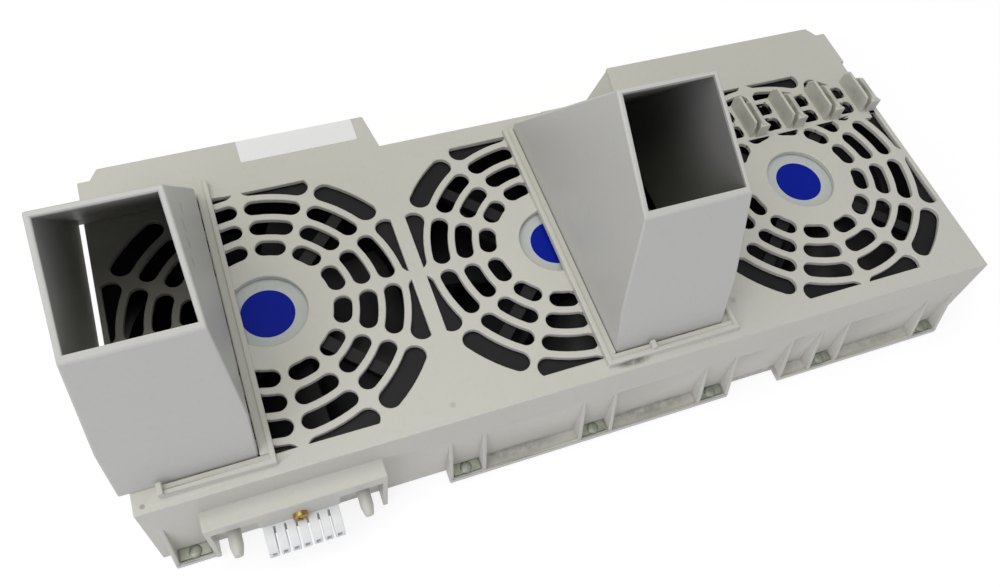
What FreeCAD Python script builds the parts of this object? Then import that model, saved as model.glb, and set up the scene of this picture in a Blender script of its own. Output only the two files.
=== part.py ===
import FreeCAD, Part
import math
import os
import Sketcher

# Fan tray: a moulded shell with three grilles, two air scoops, three axial fans on a sheet steel base.
# Frame: millimetres, X along the tray, Y to the back, Z up.
# Origin: on the axis of the middle fan, at the level of the shell's bottom edge.

SIZES = [
    # Moulded shell
    ("tray_length", 373.0, "outer length of the shell"),
    ("tray_height", 48.0, "bottom edge to top face"),
    ("wall_thickness", 1.8, "side walls"),
    ("top_thickness", 2.5, "top plate with the grilles"),
    ("front_reach", 67.5, "fan axis to the front wall, at the top"),
    ("front_draft", 2.0, "how far the front wall leans out at its foot"),
    ("recess_edge", 69.0, "fan axis to the plate's back edge between the tabs"),
    ("end_edge", 82.0, "fan axis to the plate's back edge at the ends"),
    ("tab_edge", 87.5, "fan axis to the back edge of the two tabs"),
    ("tab_inner", 62.0, "middle of the tray to the inner corner of a tab"),
    ("tab_slant", 3.0, "lean of a tab's inner end"),
    ("tab_chamfer", 3.5, "cut of a tab's outer corner"),
    ("tab_end_step", 5.0, "end of the tray to the foot of a tab's outer corner"),
    ("notch_depth", 4.0, "notch in the right end of the plate"),
    ("notch_length", 6.5, "length of that notch along the end"),
    ("notch_start", 54.5, "fan axis to the notch"),
    ("divider_thickness", 2.0, "rib between two fans, under the plate"),
    ("divider_depth", 12.0, "depth of that rib"),
    ("fan_pitch", 125.0, "fan axis to fan axis"),
    # Grilles
    ("hub_hole_radius", 16.0, "round hole over the motor"),
    ("hub_plate_radius", 26.1, "solid ring round that hole"),
    ("slot_width", 7.4, "radial width of a slot"),
    ("bar_width", 3.0, "ring between two rows of slots"),
    ("spoke_width", 3.0, "spoke between two slots of a row"),
    ("corner_slot_width", 9.0, "radial width of the outermost slots"),
    ("grille_half", 59.3, "half of the square that clips the outermost slots"),
    ("spoke_count", 12, "spokes of a grille"),
    ("slot_rows", 3, "full rows of slots in a grille"),
    # Foot flange and gussets
    ("flange_width", 6.0, "foot flange in front of the wall"),
    ("flange_thickness", 2.0, "foot flange"),
    ("lip_width", 1.2, "upstand along the flange's edge"),
    ("lip_height", 1.0, "height of that upstand above the flange"),
    ("rib_thickness", 1.6, "gusset rib"),
    ("rib_height", 28.5, "gusset rib above the bottom edge"),
    ("rib_spacing", 14.6, "two ribs beside a riveted tab"),
    ("pocket_pitch", 58.8, "riveted tab to riveted tab"),
    ("pocket_middle", -3.4, "a riveted tab near the tray's middle, from that middle"),
    ("left_pocket", -174.1, "the riveted tab left of the hood, from the tray's middle"),
    ("flange_gap", 27.0, "end of the flange to the next stretch of flange"),
    # Hood over the connector
    ("hood_middle", -132.3, "middle of the hood and the connector along the tray"),
    ("hood_length", 69.5, "length of the hood"),
    ("hood_reach", 8.4, "front wall to the hood's face"),
    ("hood_top", 34.5, "top of the hood above the bottom edge"),
    ("hood_lip", 6.0, "height of the hood's face"),
    ("hood_thickness", 2.0, "walls of the hood"),
    ("post_spread", 50.2, "guide post to guide post"),
    ("post_level", 20.0, "axis of the guide posts above the bottom edge"),
    ("post_length", 12.5, "straight stretch of a guide post"),
    ("post_radius", 2.6, "guide post"),
    ("post_nose_length", 4.0, "tapered nose of a guide post"),
    ("post_nose_radius", 1.7, "guide post at its tip"),
    ("collar_step", 1.0, "collar at the root of a guide post, outside the post"),
    ("collar_reach", 0.5, "that collar in front of the wall's foot"),
    ("boss_clearance", 0.3, "connector to the boss above it"),
    # Connector
    ("contact_count", 7, "fingers of the connector"),
    ("contact_pitch", 4.2, "finger to finger"),
    ("finger_gap", 0.8, "slit between two fingers"),
    ("finger_length", 11.5, "free length of a finger"),
    ("finger_top", 20.0, "top of the connector above the bottom edge"),
    ("connector_height", 10.0, "height of the connector"),
    ("connector_inside", 8.0, "length of the connector behind the wall's front"),
    ("connector_face", 9.0, "front wall to the root of the fingers"),
    ("connector_clearance", 0.3, "connector in its window"),
    ("ear_height", 7.0, "screw ear above the connector"),
    ("ear_width", 9.0, "width of the screw ear"),
    ("ear_thickness", 3.0, "thickness of the screw ear"),
    ("contact_width", 1.6, "contact blade"),
    ("contact_thickness", 0.6, "contact blade"),
    ("contact_length", 13.0, "contact blade"),
    ("screw_head_radius", 2.9, "head of the connector screw"),
    ("screw_head_height", 1.8, "head of the connector screw"),
    ("screw_shank_radius", 1.5, "shank of the connector screw"),
    ("screw_shank_length", 7.2, "shank of the connector screw"),
    # Seats of the scoops
    ("rail_width", 2.2, "rail beside a scoop"),
    ("rail_height", 3.0, "rail above the top plate"),
    ("ledge_height", 2.0, "ledge between rail and scoop"),
    ("seat_gap", 0.4, "scoop to its ledge"),
    ("ledge_width", 2.4, "ledge between rail and scoop"),
    ("stop_height", 5.0, "upright stops at the ends of the rails"),
    ("back_rail_height", 6.0, "rail behind the middle scoop"),
    # Clips on the right grille
    ("clip_count", 4, "pairs of clip walls"),
    ("clip_pitch", 20.9, "pair to pair"),
    ("clip_first", 111.0, "first clip wall from the tray's middle"),
    ("clip_gap", 5.2, "wall to wall in a pair"),
    ("clip_thickness", 2.0, "clip wall"),
    ("clip_height", 9.5, "clip wall above the top plate"),
    ("clip_front", 26.5, "fan axis to the front end of the clip walls"),
    ("clip_length", 20.0, "length of a clip wall"),
    ("clip_taper", 3.5, "slope at both ends of a clip wall"),
    ("clip_foot", 4.0, "foot at the front of a clip"),
    ("clip_bar_margin", 2.2, "solid bar round a pair of clip walls"),
    # Air scoops
    ("scoop_width", 50.4, "widest, at the parting line"),
    ("scoop_front", 59.0, "fan axis to the front foot of a scoop"),
    ("scoop_back", 62.0, "fan axis to the back foot of a scoop"),
    ("scoop_back_upright", 5.0, "upright stretch at the back foot"),
    ("parting_height", 25.0, "widest level above the top plate"),
    ("mouth_front_height", 70.0, "front edge of the mouth above the top plate"),
    ("mouth_back_height", 92.0, "back edge of the mouth above the top plate"),
    ("mouth_front", 41.5, "fan axis to the front edge of the mouth, forwards"),
    ("mouth_back", 1.1, "fan axis to the back edge of the mouth, forwards"),
    ("foot_draft", 0.6, "how far the sides draw in below the parting line"),
    ("left_draft", 4.25, "how far the left side draws in at the mouth's back"),
    ("right_draft", 5.95, "how far the right side draws in at the mouth's back"),
    ("scoop_wall", 2.2, "wall of a scoop"),
    ("left_scoop_start", -190.9, "left side of the left scoop along the tray"),
    ("middle_scoop_start", 2.2, "left side of the middle scoop along the tray"),
    ("side_groove", 3.0, "left scoop to the rail on its right"),
    # Sheet steel base
    ("base_thickness", 1.2, "base plate"),
    ("base_clearance", 0.5, "base plate in the shell"),
    ("base_hole_radius", 57.5, "air opening under each fan"),
    ("tab_width", 11.6, "riveted tab of the base plate"),
    ("tab_reach", 4.4, "tab in front of the wall's foot"),
    ("slot_clearance", 0.3, "tab in its slot in the wall"),
    ("back_tab_width", 14.0, "hook tab at the back of the base plate"),
    ("back_tab_reach", 1.5, "hook tab behind the back wall"),
    ("rivet_head_radius", 2.6, "domed rivet head"),
    ("rivet_head_height", 1.3, "domed rivet head"),
    ("rivet_shank_radius", 1.2, "rivet in tab and flange"),
    # Fans
    ("fan_size", 119.0, "side of the square fan frame"),
    ("fan_depth", 38.0, "thickness of the fan"),
    ("fan_top_gap", 0.3, "fan to the underside of the top plate"),
    ("fan_flange", 4.0, "square flanges of the fan frame"),
    ("fan_corner_radius", 6.0, "corners of those flanges"),
    ("fan_hole_spacing", 104.8, "corner hole to corner hole"),
    ("fan_hole_radius", 2.15, "corner holes"),
    ("bore_radius", 57.3, "round air duct of the fan"),
    ("barrel_radius", 59.3, "outside of that duct"),
    ("motor_base_radius", 23.5, "disc that carries the motor"),
    ("motor_base_thickness", 3.0, "disc that carries the motor"),
    ("strut_count", 4, "struts from the disc to the frame"),
    ("strut_width", 5.0, "strut"),
    ("strut_depth", 4.0, "strut"),
    ("tube_radius", 5.0, "bearing tube"),
    ("tube_bore", 4.0, "bearing tube"),
    ("tube_start", 9.5, "lower end of the bearing tube above the fan's underside"),
    ("hub_radius", 22.0, "outside of the rotor's hub"),
    ("hub_wall", 2.1, "wall of the hub"),
    ("hub_floor", 3.0, "closed end of the hub"),
    ("hub_start", 4.0, "closed end of the hub above the fan's underside"),
    ("hub_length", 28.5, "length of the hub"),
    ("boss_radius", 4.0, "boss that holds the shaft"),
    ("boss_height", 2.2, "boss that holds the shaft"),
    ("blade_count", 7, "blades"),
    ("blade_thickness", 1.8, "blade"),
    ("blade_start", 6.0, "lower edge of the blades above the fan's underside"),
    ("blade_height", 25.0, "axial height of the blades at the hub"),
    ("blade_sweep", 15.0, "half of a blade's width across its axis at the hub"),
    ("blade_tip_sweep", 27.0, "half of a blade's width across its axis at the tip"),
    ("blade_tip_height", 19.0, "axial height of the blades at the tip"),
    ("blade_camber", 3.2, "bow of a blade"),
    ("tip_gap", 1.1, "blade tip to the air duct"),
    ("yoke_wall", 1.0, "steel ring in the hub"),
    ("yoke_start", 11.0, "lower end of the steel ring"),
    ("yoke_length", 20.5, "length of the steel ring"),
    ("magnet_wall", 2.5, "magnet ring in the steel ring"),
    ("magnet_inset", 0.8, "steel ring to the ends of the magnet ring"),
    ("air_gap", 0.5, "magnet ring to stator"),
    ("stator_start", 16.0, "lower end of the stator stack"),
    ("stator_length", 12.0, "length of the stator stack"),
    ("pole_count", 4, "poles of the stator"),
    ("pole_width", 4.4, "neck of a pole"),
    ("pole_shoe", 2.0, "thickness of a pole's shoe"),
    ("pole_gap", 3.0, "gap between two shoes"),
    ("core_radius", 7.4, "ring of the stator on the bearing tube"),
    ("coil_build", 2.2, "winding round a pole's neck"),
    ("coil_clearance", 0.1, "winding to the pole"),
    ("board_radius", 18.5, "circuit board"),
    ("board_thickness", 1.2, "circuit board"),
    ("shaft_radius", 1.5, "rotor shaft"),
    ("shaft_fit", 0.03, "shaft in its bearings"),
    ("bearing_fit", 0.03, "bearing in its tube"),
    ("bearing_length", 4.0, "bearing"),
    ("bearing_inset", 0.6, "bearing from the lower end of its tube"),
    ("press_gap", 0.02, "pressed pieces of one body"),
    # Fan mounting
    ("pad_radius", 5.0, "rubber pad under a fan's corner"),
    ("fan_screw_radius", 2.0, "screw into a fan's corner"),
    ("fan_screw_head_radius", 3.6, "screw into a fan's corner"),
    ("fan_screw_head_height", 1.7, "screw into a fan's corner"),
    ("fan_screw_grip", 10.0, "screw inside the fan's corner"),
    ("screw_clearance", 0.25, "screw in the base plate and the pad"),
]

doc = FreeCAD.newDocument("fan_tray")
sheet = doc.addObject("Spreadsheet::Sheet", "Sizes")
for row, (name, value, note) in enumerate(SIZES, start=1):
    sheet.set("A%d" % row, name)
    sheet.set("B%d" % row, str(value))
    sheet.set("C%d" % row, note)
    sheet.setAlias("B%d" % row, name)
doc.recompute()

pieces = []


def size(name):
    """Value of a driving dimension."""
    return float(sheet.get(name))


def count(name):
    """Value of a driving number of copies."""
    return int(round(size(name)))


def vector(x, y, z=0.0):
    return FreeCAD.Vector(x, y, z)


def bind(feature, **expressions):
    """Bind properties of a feature to formulas of the sheet's cells."""
    for prop, formula in expressions.items():
        feature.setExpression(prop, formula)
    return feature


def cells(formula):
    """Write each name of the sheet in a formula as a reference to its cell."""
    words = []
    for word in formula.split():
        words.append("Sizes." + word if any(word == item[0] for item in SIZES) else word)
    return " ".join(words)


# Levels that several pieces share
top_level = size("tray_height")
plate_under = top_level - size("top_thickness")
front_foot = -size("front_reach") - size("front_draft")
flange_edge = front_foot - size("flange_width")
base_top = size("flange_thickness") + size("base_thickness")
fan_under = plate_under - size("fan_top_gap") - size("fan_depth")
pad_height = fan_under - base_top
fan_places = [("left", -1), ("middle", 0), ("right", 1)]
pocket_places = [size("pocket_middle") + step * size("pocket_pitch") for step in range(-1, 4)]
pocket_places.insert(0, size("left_pocket"))


def new_body(label):
    """A piece made of sketches, pads and pockets."""
    body = doc.addObject("PartDesign::Body", label)
    body.Label = label
    pieces.append(body)
    return body


def plane_of(body, role):
    return next(item for item in body.Origin.OriginFeatures if item.Role == role)


def new_sketch(body, name, role="XY_Plane", level="0"):
    """A sketch on one of the body's origin planes, moved along the plane's normal."""
    sketch = body.newObject("Sketcher::SketchObject", name)
    sketch.AttachmentSupport = [(plane_of(body, role), "")]
    sketch.MapMode = "FlatFace"
    sketch.setExpression(".AttachmentOffset.Base.z", cells(level))
    return sketch


def draw_polygon(sketch, points):
    """A closed outline of straight lines."""
    corners = [vector(x, y) for x, y in points]
    lines = []
    for start, end in zip(corners, corners[1:] + corners[:1]):
        lines.append(Part.LineSegment(start, end))
    sketch.addGeometry(lines, False)


def draw_rectangle(sketch, x_low, x_high, y_low, y_high):
    draw_polygon(sketch, [(x_low, y_low), (x_high, y_low), (x_high, y_high), (x_low, y_high)])


def draw_circle(sketch, radius, x=0.0, y=0.0):
    """A circle whose radius is bound to a formula of the sheet."""
    circle = Part.Circle(vector(x, y), vector(0, 0, 1), 1.0)
    index = sketch.addGeometry(circle, False)
    number = sketch.addConstraint(Sketcher.Constraint("Radius", index, 1.0))
    sketch.setExpression("Constraints[%d]" % number, cells(radius))


def pad(body, sketch, length, both_ways=False, downwards=False):
    feature = body.newObject("PartDesign::Pad", sketch.Name + "_pad")
    feature.Profile = sketch
    feature.Midplane = both_ways
    feature.Reversed = downwards
    bind(feature, Length=cells(length))
    body.Tip = feature
    return feature


def pocket(body, sketch, length, upwards=False):
    feature = body.newObject("PartDesign::Pocket", sketch.Name + "_pocket")
    feature.Profile = sketch
    feature.Reversed = upwards
    bind(feature, Length=cells(length))
    body.Tip = feature
    return feature


def polar_pattern(body, feature, number):
    pattern = body.newObject("PartDesign::PolarPattern", feature.Name + "_ring")
    pattern.Originals = [feature]
    pattern.Axis = (next(item for item in body.Origin.OriginFeatures if item.Role == "Z_Axis"), [""])
    pattern.Angle = 360.0
    bind(pattern, Occurrences=cells(number))
    body.Tip = pattern
    return pattern


def polar(radius, degrees):
    angle = math.radians(degrees)
    return vector(radius * math.cos(angle), radius * math.sin(angle))


def arc(start, middle, end):
    return Part.Arc(start, middle, end)


def slot_outline(mid_radius, half_width, centre_angle, half_angle):
    """A slot along a ring: two concentric arcs joined by round ends."""
    low = centre_angle - half_angle
    high = centre_angle + half_angle
    inner = mid_radius - half_width
    outer = mid_radius + half_width
    tangent_low = polar(half_width, low - 90.0)
    tangent_high = polar(half_width, high + 90.0)
    return [
        arc(polar(inner, low), polar(inner, centre_angle), polar(inner, high)),
        arc(polar(inner, high), polar(mid_radius, high) + tangent_high, polar(outer, high)),
        arc(polar(outer, high), polar(outer, centre_angle), polar(outer, low)),
        arc(polar(outer, low), polar(mid_radius, low) + tangent_low, polar(inner, low)),
    ]


def clipped_slot_outline(mid_radius, half_width, half_angle, sector, limit, turn, mirror):
    """An outermost slot beside an axis of the grille, cut off by the grille's square outline."""
    low = sector / 2.0 - half_angle
    high = sector / 2.0 + half_angle
    inner = mid_radius - half_width
    low_cap = polar(mid_radius, low)
    high_cap = polar(mid_radius, high)
    low_cut = vector(limit, low_cap.y - math.sqrt(half_width ** 2 - (limit - low_cap.x) ** 2))
    high_cut = vector(limit, high_cap.y + math.sqrt(half_width ** 2 - (limit - high_cap.x) ** 2))

    def between(cap, start, end):
        direction = (start + end) * 0.5 - cap
        return cap + direction * (half_width / direction.Length)

    points = [
        [polar(inner, low), polar(inner, sector / 2.0), polar(inner, high)],
        [polar(inner, high), between(high_cap, polar(inner, high), high_cut), high_cut],
        [high_cut, low_cut],
        [low_cut, between(low_cap, low_cut, polar(inner, low)), polar(inner, low)],
    ]
    turned = []
    for run in points:
        moved = []
        for point in run:
            flipped = vector(point.x, -point.y if mirror else point.y)
            reach = math.degrees(math.atan2(flipped.y, flipped.x))
            moved.append(polar(flipped.Length, reach + turn))
        turned.append(arc(*moved) if len(moved) == 3 else Part.LineSegment(*moved))
    return turned


def grille_outline(offset):
    """All slots of one grille: full rows of slots, and an outermost row clipped to a square."""
    sector = 360.0 / count("spoke_count")
    half_spoke = size("spoke_width") / 2.0
    half_slot = size("slot_width") / 2.0
    curves = []

    def half_angle(mid_radius, half_width):
        return sector / 2.0 - math.degrees(math.asin((half_spoke + half_width) / mid_radius))

    inner = size("hub_plate_radius")
    for row in range(count("slot_rows")):
        mid_radius = inner + half_slot
        for step in range(count("spoke_count")):
            turn = sector * (step + 0.5)
            curves += slot_outline(mid_radius, half_slot, turn, half_angle(mid_radius, half_slot))
        inner += size("slot_width") + size("bar_width")
    half_corner = size("corner_slot_width") / 2.0
    mid_radius = inner + half_corner
    spread = half_angle(mid_radius, half_corner)
    for quarter in range(4):
        turn = 90.0 * quarter
        curves += slot_outline(mid_radius, half_corner, turn + 45.0, spread)
        for mirror in (False, True):
            curves += clipped_slot_outline(
                mid_radius, half_corner, spread, sector, size("grille_half"), turn, mirror)
    for curve in curves:
        curve.translate(vector(offset, 0.0))
    return curves


def shell_outline(notched):
    """Shell seen from above, deeper at the back on both sides, with or without the notch in the right end."""
    half = size("tray_length") / 2.0
    notch_end = size("notch_start") + size("notch_length")
    tab_foot = half - size("tab_end_step")
    tab_corner = tab_foot - size("tab_chamfer")
    inner_foot = size("tab_inner") - size("tab_slant")
    back = [
        (tab_foot, size("end_edge")),
        (tab_corner, size("tab_edge")),
        (size("tab_inner"), size("tab_edge")),
        (inner_foot, size("recess_edge")),
    ]
    right = [
        (half, size("notch_start")),
        (half - size("notch_depth"), size("notch_start")),
        (half - size("notch_depth"), notch_end),
        (half, notch_end),
    ]
    left_back = [(-x, y) for x, y in reversed(back)]
    front = [(-half, -size("front_reach")), (half, -size("front_reach"))]
    ends = [(half, size("end_edge"))]
    return front + (right if notched else []) + ends + back + left_back + [(-half, size("end_edge"))]


def inset(points, distance):
    """An outline drawn inside another one, all its sides moved in by the same distance."""
    moved = []
    for index, (x, y) in enumerate(points):
        before = points[index - 1]
        after = points[(index + 1) % len(points)]
        first = vector(x - before[0], y - before[1]).normalize()
        second = vector(after[0] - x, after[1] - y).normalize()
        bisector = vector(-first.y - second.y, first.x + second.x)
        reach = distance * 2.0 / bisector.dot(bisector)
        moved.append((x + bisector.x * reach, y + bisector.y * reach))
    return moved


def make_tray_shell():
    body = new_body("tray_shell")
    wall = size("wall_thickness")
    front = -size("front_reach")

    plate = new_sketch(body, "plate_outline", level="tray_height")
    draw_polygon(plate, shell_outline(True))
    pad(body, plate, "top_thickness", downwards=True)

    walls = new_sketch(body, "wall_ring")
    draw_polygon(walls, shell_outline(False))
    draw_polygon(walls, inset(shell_outline(False), wall))
    pad(body, walls, "tray_height - top_thickness")

    draft = new_sketch(body, "front_draft_profile", "YZ_Plane")
    draw_polygon(draft, [(front, top_level), (front_foot, 0.0), (front, 0.0)])
    pad(body, draft, "tray_length", both_ways=True)

    dividers = new_sketch(body, "fan_dividers", level="tray_height - top_thickness")
    half_divider = size("divider_thickness") / 2.0
    for side in (-0.5, 0.5):
        middle = side * size("fan_pitch")
        start = middle - half_divider
        draw_rectangle(dividers, start, middle + half_divider, front + wall, size("recess_edge") - wall)
    pad(body, dividers, "divider_depth", downwards=True)

    make_flange(body)
    make_gussets(body)
    make_hood(body)
    make_scoop_seats(body)
    make_clip_walls(body)
    cut_wall_slots(body)

    for side, step in fan_places:
        slots = new_sketch(body, side + "_grille", level="tray_height")
        slots.addGeometry(grille_outline(step * size("fan_pitch")), False)
        draw_circle(slots, "hub_hole_radius", step * size("fan_pitch"))
        pocket(body, slots, "top_thickness")
    make_clip_bars(body)


def flange_stretches():
    """Start and end of each stretch of the foot flange along the tray."""
    half_pair = (size("rib_spacing") + size("rib_thickness")) / 2.0
    hood_start = size("hood_middle") - size("hood_length") / 2.0
    second_end = pocket_places[3] + half_pair
    return [
        (pocket_places[0] - half_pair, hood_start + size("hood_thickness")),
        (pocket_places[1] - half_pair, second_end),
        (second_end + size("flange_gap"), pocket_places[5] + half_pair),
    ]


def make_flange(body):
    flange = new_sketch(body, "foot_flange")
    lip = new_sketch(body, "flange_lip")
    for start, end in flange_stretches():
        draw_rectangle(flange, start, end, flange_edge, -size("front_reach"))
        draw_rectangle(lip, start, end, flange_edge, flange_edge + size("lip_width"))
    pad(body, flange, "flange_thickness")
    pad(body, lip, "flange_thickness + lip_height")


def gusset_places():
    """Every gusset rib: two beside each riveted tab in the open, and the ends of the flange."""
    half_pair = size("rib_spacing") / 2.0
    half_rib = size("rib_thickness") / 2.0
    places = []
    for middle in pocket_places[1:]:
        places += [middle - half_pair, middle + half_pair]
    places.append(pocket_places[0] - half_pair)
    places.append(flange_stretches()[2][0] + half_rib)
    return places


def make_gussets(body):
    front = -size("front_reach")
    toe = flange_edge + 0.3
    toe_top = size("flange_thickness") + size("lip_height")
    for number, place in enumerate(gusset_places(), start=1):
        gusset = new_sketch(body, "gusset_%d" % number, "YZ_Plane")
        gusset.setExpression(".AttachmentOffset.Base.z", "%.4f" % place)
        lean = front - size("front_draft") * (1.0 - size("rib_height") / top_level)
        outline = [(front, 0.0), (front, size("rib_height")), (lean, size("rib_height"))]
        draw_polygon(gusset, outline + [(toe, toe_top), (toe, 0.0)])
        pad(body, gusset, "rib_thickness", both_ways=True)


def make_hood(body):
    """Hood over the connector: a shelf with a downturned face, on two cheeks, and two guide posts."""
    front = -size("front_reach")
    face = front - size("hood_reach")
    thick = size("hood_thickness")
    top = size("hood_top")
    shelf = new_sketch(body, "hood_profile", "YZ_Plane", "hood_middle")
    low = top - size("hood_lip")
    outline = [(front, top), (face, top), (face, low), (face + thick, low)]
    draw_polygon(shelf, outline + [(face + thick, top - thick), (front, top - thick)])
    pad(body, shelf, "hood_length", both_ways=True)
    cheeks = new_sketch(body, "hood_cheeks")
    start = size("hood_middle") - size("hood_length") / 2.0
    end = start + size("hood_length")
    draw_rectangle(cheeks, start, start + thick, face, front)
    draw_rectangle(cheeks, end - thick, end, face, front)
    pad(body, cheeks, "hood_top")
    forwards = FreeCAD.Rotation(vector(1, 0, 0), 90.0)
    for side in (-0.5, 0.5):
        place = vector(size("hood_middle") + side * size("post_spread"), front, size("post_level"))
        collar = body.newObject("PartDesign::AdditiveCylinder", "guide_post_collar")
        collar.Placement = FreeCAD.Placement(place, forwards)
        bind(collar, Radius=cells("post_radius + collar_step"), Height=cells("front_draft + collar_reach"))
        post = body.newObject("PartDesign::AdditiveCylinder", "guide_post")
        post.Placement = FreeCAD.Placement(place, forwards)
        bind(post, Radius=cells("post_radius"), Height=cells("post_length"))
        nose = body.newObject("PartDesign::AdditiveCone", "guide_post_nose")
        nose.Placement = FreeCAD.Placement(place - vector(0, size("post_length"), 0), forwards)
        bind(nose, Radius1=cells("post_radius"), Radius2=cells("post_nose_radius"))
        bind(nose, Height=cells("post_nose_length"))
        body.Tip = nose
    boss = new_sketch(body, "connector_boss", level="finger_top + boss_clearance")
    half_ear = size("ear_width") / 2.0
    middle = size("hood_middle")
    draw_rectangle(boss, middle - half_ear, middle + half_ear, ear_back_face(), front)
    pad(body, boss, "hood_top - hood_thickness - finger_top - boss_clearance")
    hole = body.newObject("PartDesign::SubtractiveCylinder", "connector_boss_hole")
    inside = front + size("wall_thickness")
    hole.Placement = FreeCAD.Placement(vector(middle, inside, connector_screw_level()), forwards)
    bind(hole, Radius=cells("screw_shank_radius + press_gap"))
    bind(hole, Height=cells("wall_thickness + hood_reach"))
    body.Tip = hole


def ear_back_face():
    """Plane where the connector's screw ear lies against its boss."""
    return -size("front_reach") - size("hood_reach") + size("hood_thickness") + size("ear_thickness")


def connector_screw_level():
    return size("finger_top") + size("ear_height") / 2.0


def make_scoop_seats(body):
    """Rails, ledges and stops on the top plate that locate the two scoops."""
    rail = size("rail_width")
    ledge = size("ledge_width")
    gap = size("seat_gap")
    scoop_front = -size("scoop_front") - gap
    rail_back = scoop_front - ledge
    rail_front = rail_back - rail
    left_end = size("left_scoop_start") + size("scoop_width")
    left_rail = left_end + size("side_groove")
    left_stop = left_rail - size("scoop_width") + 13.0
    middle_start = size("middle_scoop_start") - gap
    middle_end = size("middle_scoop_start") + size("scoop_width") + gap
    rails = new_sketch(body, "seat_rails", level="tray_height")
    draw_polygon(rails, [
        (left_stop, rail_front), (left_rail + rail, rail_front), (left_rail + rail, size("recess_edge") - 1.0),
        (left_rail, size("recess_edge") - 1.0), (left_rail, rail_back), (left_stop, rail_back)])
    right_rail = middle_end + ledge
    left_side = middle_start - ledge
    return_end = scoop_front + 12.0
    draw_polygon(rails, [
        (left_side - rail, rail_front), (right_rail + rail, rail_front), (right_rail + rail, return_end),
        (right_rail, return_end), (right_rail, rail_back), (left_side, rail_back),
        (left_side, size("scoop_back")), (left_side - rail, size("scoop_back"))])
    pad(body, rails, "rail_height")
    ledges = new_sketch(body, "seat_ledges", level="tray_height")
    draw_rectangle(ledges, left_stop, left_rail, rail_back, scoop_front)
    draw_polygon(ledges, [
        (left_side, rail_back), (right_rail, rail_back), (right_rail, scoop_front),
        (middle_start, scoop_front), (middle_start, size("scoop_back")), (left_side, size("scoop_back"))])
    pad(body, ledges, "ledge_height")
    stops = new_sketch(body, "seat_stops", level="tray_height")
    draw_rectangle(stops, left_stop - rail, left_stop, rail_front, scoop_front)
    hook = middle_start + 0.3 * size("scoop_width")
    draw_rectangle(stops, hook, hook + rail, rail_back - rail / 2.0, scoop_front)
    pad(body, stops, "stop_height")
    back_rail = new_sketch(body, "back_rail", level="tray_height")
    back_face = size("scoop_back") + gap
    draw_rectangle(back_rail, hook, middle_end, back_face, back_face + rail)
    pad(body, back_rail, "back_rail_height")


def clip_wall_places():
    """Pairs of clip walls along the tray."""
    pairs = []
    for step in range(count("clip_count")):
        first = size("clip_first") + step * size("clip_pitch")
        pairs.append((first, first + size("clip_gap")))
    return pairs


def make_clip_walls(body):
    start = size("clip_front")
    end = start + size("clip_length")
    top = top_level + size("clip_height")
    taper = size("clip_taper")
    half = size("clip_thickness") / 2.0
    feet = new_sketch(body, "clip_feet", level="tray_height")
    number = 0
    for pair in clip_wall_places():
        for place in pair:
            number += 1
            wall = new_sketch(body, "clip_wall_%d" % number, "YZ_Plane")
            wall.setExpression(".AttachmentOffset.Base.z", "%.4f" % place)
            low = plate_under
            shoulder = top - 2.0 * taper
            draw_polygon(wall, [
                (start, low), (end, low), (end, shoulder), (end - taper, top),
                (start + taper, top), (start, shoulder)])
            pad(body, wall, "clip_thickness", both_ways=True)
        foot = pair[1] + half
        draw_rectangle(feet, pair[1] - half, foot + size("clip_foot"), start, start + 2.0 * half)
    pad(body, feet, "clip_height * 0.6")


def make_clip_bars(body):
    """Solid bars across the right grille under the clip walls, joined by a cross bar at their front."""
    margin = size("clip_bar_margin")
    start = size("clip_front") - margin
    end = size("clip_front") + size("clip_length") + margin
    pairs = clip_wall_places()
    bars = new_sketch(body, "clip_bars", level="tray_height")
    comb = [(pairs[0][0] - margin, start), (pairs[-1][1] + margin, start)]
    for first, second in reversed(pairs):
        comb += [(second + margin, end), (first - margin, end)]
        if first > pairs[0][0]:
            comb += [(first - margin, start + margin * 2.0)]
            comb += [(first - size("clip_pitch") + size("clip_gap") + margin, start + margin * 2.0)]
    draw_polygon(bars, comb)
    pad(body, bars, "top_thickness", downwards=True)


def cut_wall_slots(body):
    """Slots in the walls for the tabs of the base plate, and the window of the connector."""
    clear = size("slot_clearance")
    half_tab = size("tab_width") / 2.0 + clear
    inside = -size("front_reach") + size("wall_thickness")
    slots = new_sketch(body, "tab_slots", level="flange_thickness + base_thickness + slot_clearance")
    for place in pocket_places:
        draw_rectangle(slots, place - half_tab, place + half_tab, front_foot - 0.1, inside + 0.1)
    half_back = size("back_tab_width") / 2.0 + clear
    for place, back in hook_places():
        inner = back - size("wall_thickness") - 0.1
        draw_rectangle(slots, place - half_back, place + half_back, inner, back + 0.1)
    pocket(body, slots, "base_thickness + slot_clearance")
    window = new_sketch(body, "connector_window", level="finger_top + connector_clearance")
    half_window = size("contact_count") * size("contact_pitch") / 2.0 + size("connector_clearance")
    middle = size("hood_middle")
    draw_rectangle(window, middle - half_window, middle + half_window, front_foot - 0.1, inside + 0.1)
    pocket(body, window, "connector_height + 2 * connector_clearance")


def hook_places():
    """Hook tabs of the base plate: place along the tray, and the back wall that each one passes."""
    pitch = size("fan_pitch")
    return [(pitch, size("tab_edge")), (0.0, size("recess_edge")), (-pitch, size("tab_edge"))]


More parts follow.
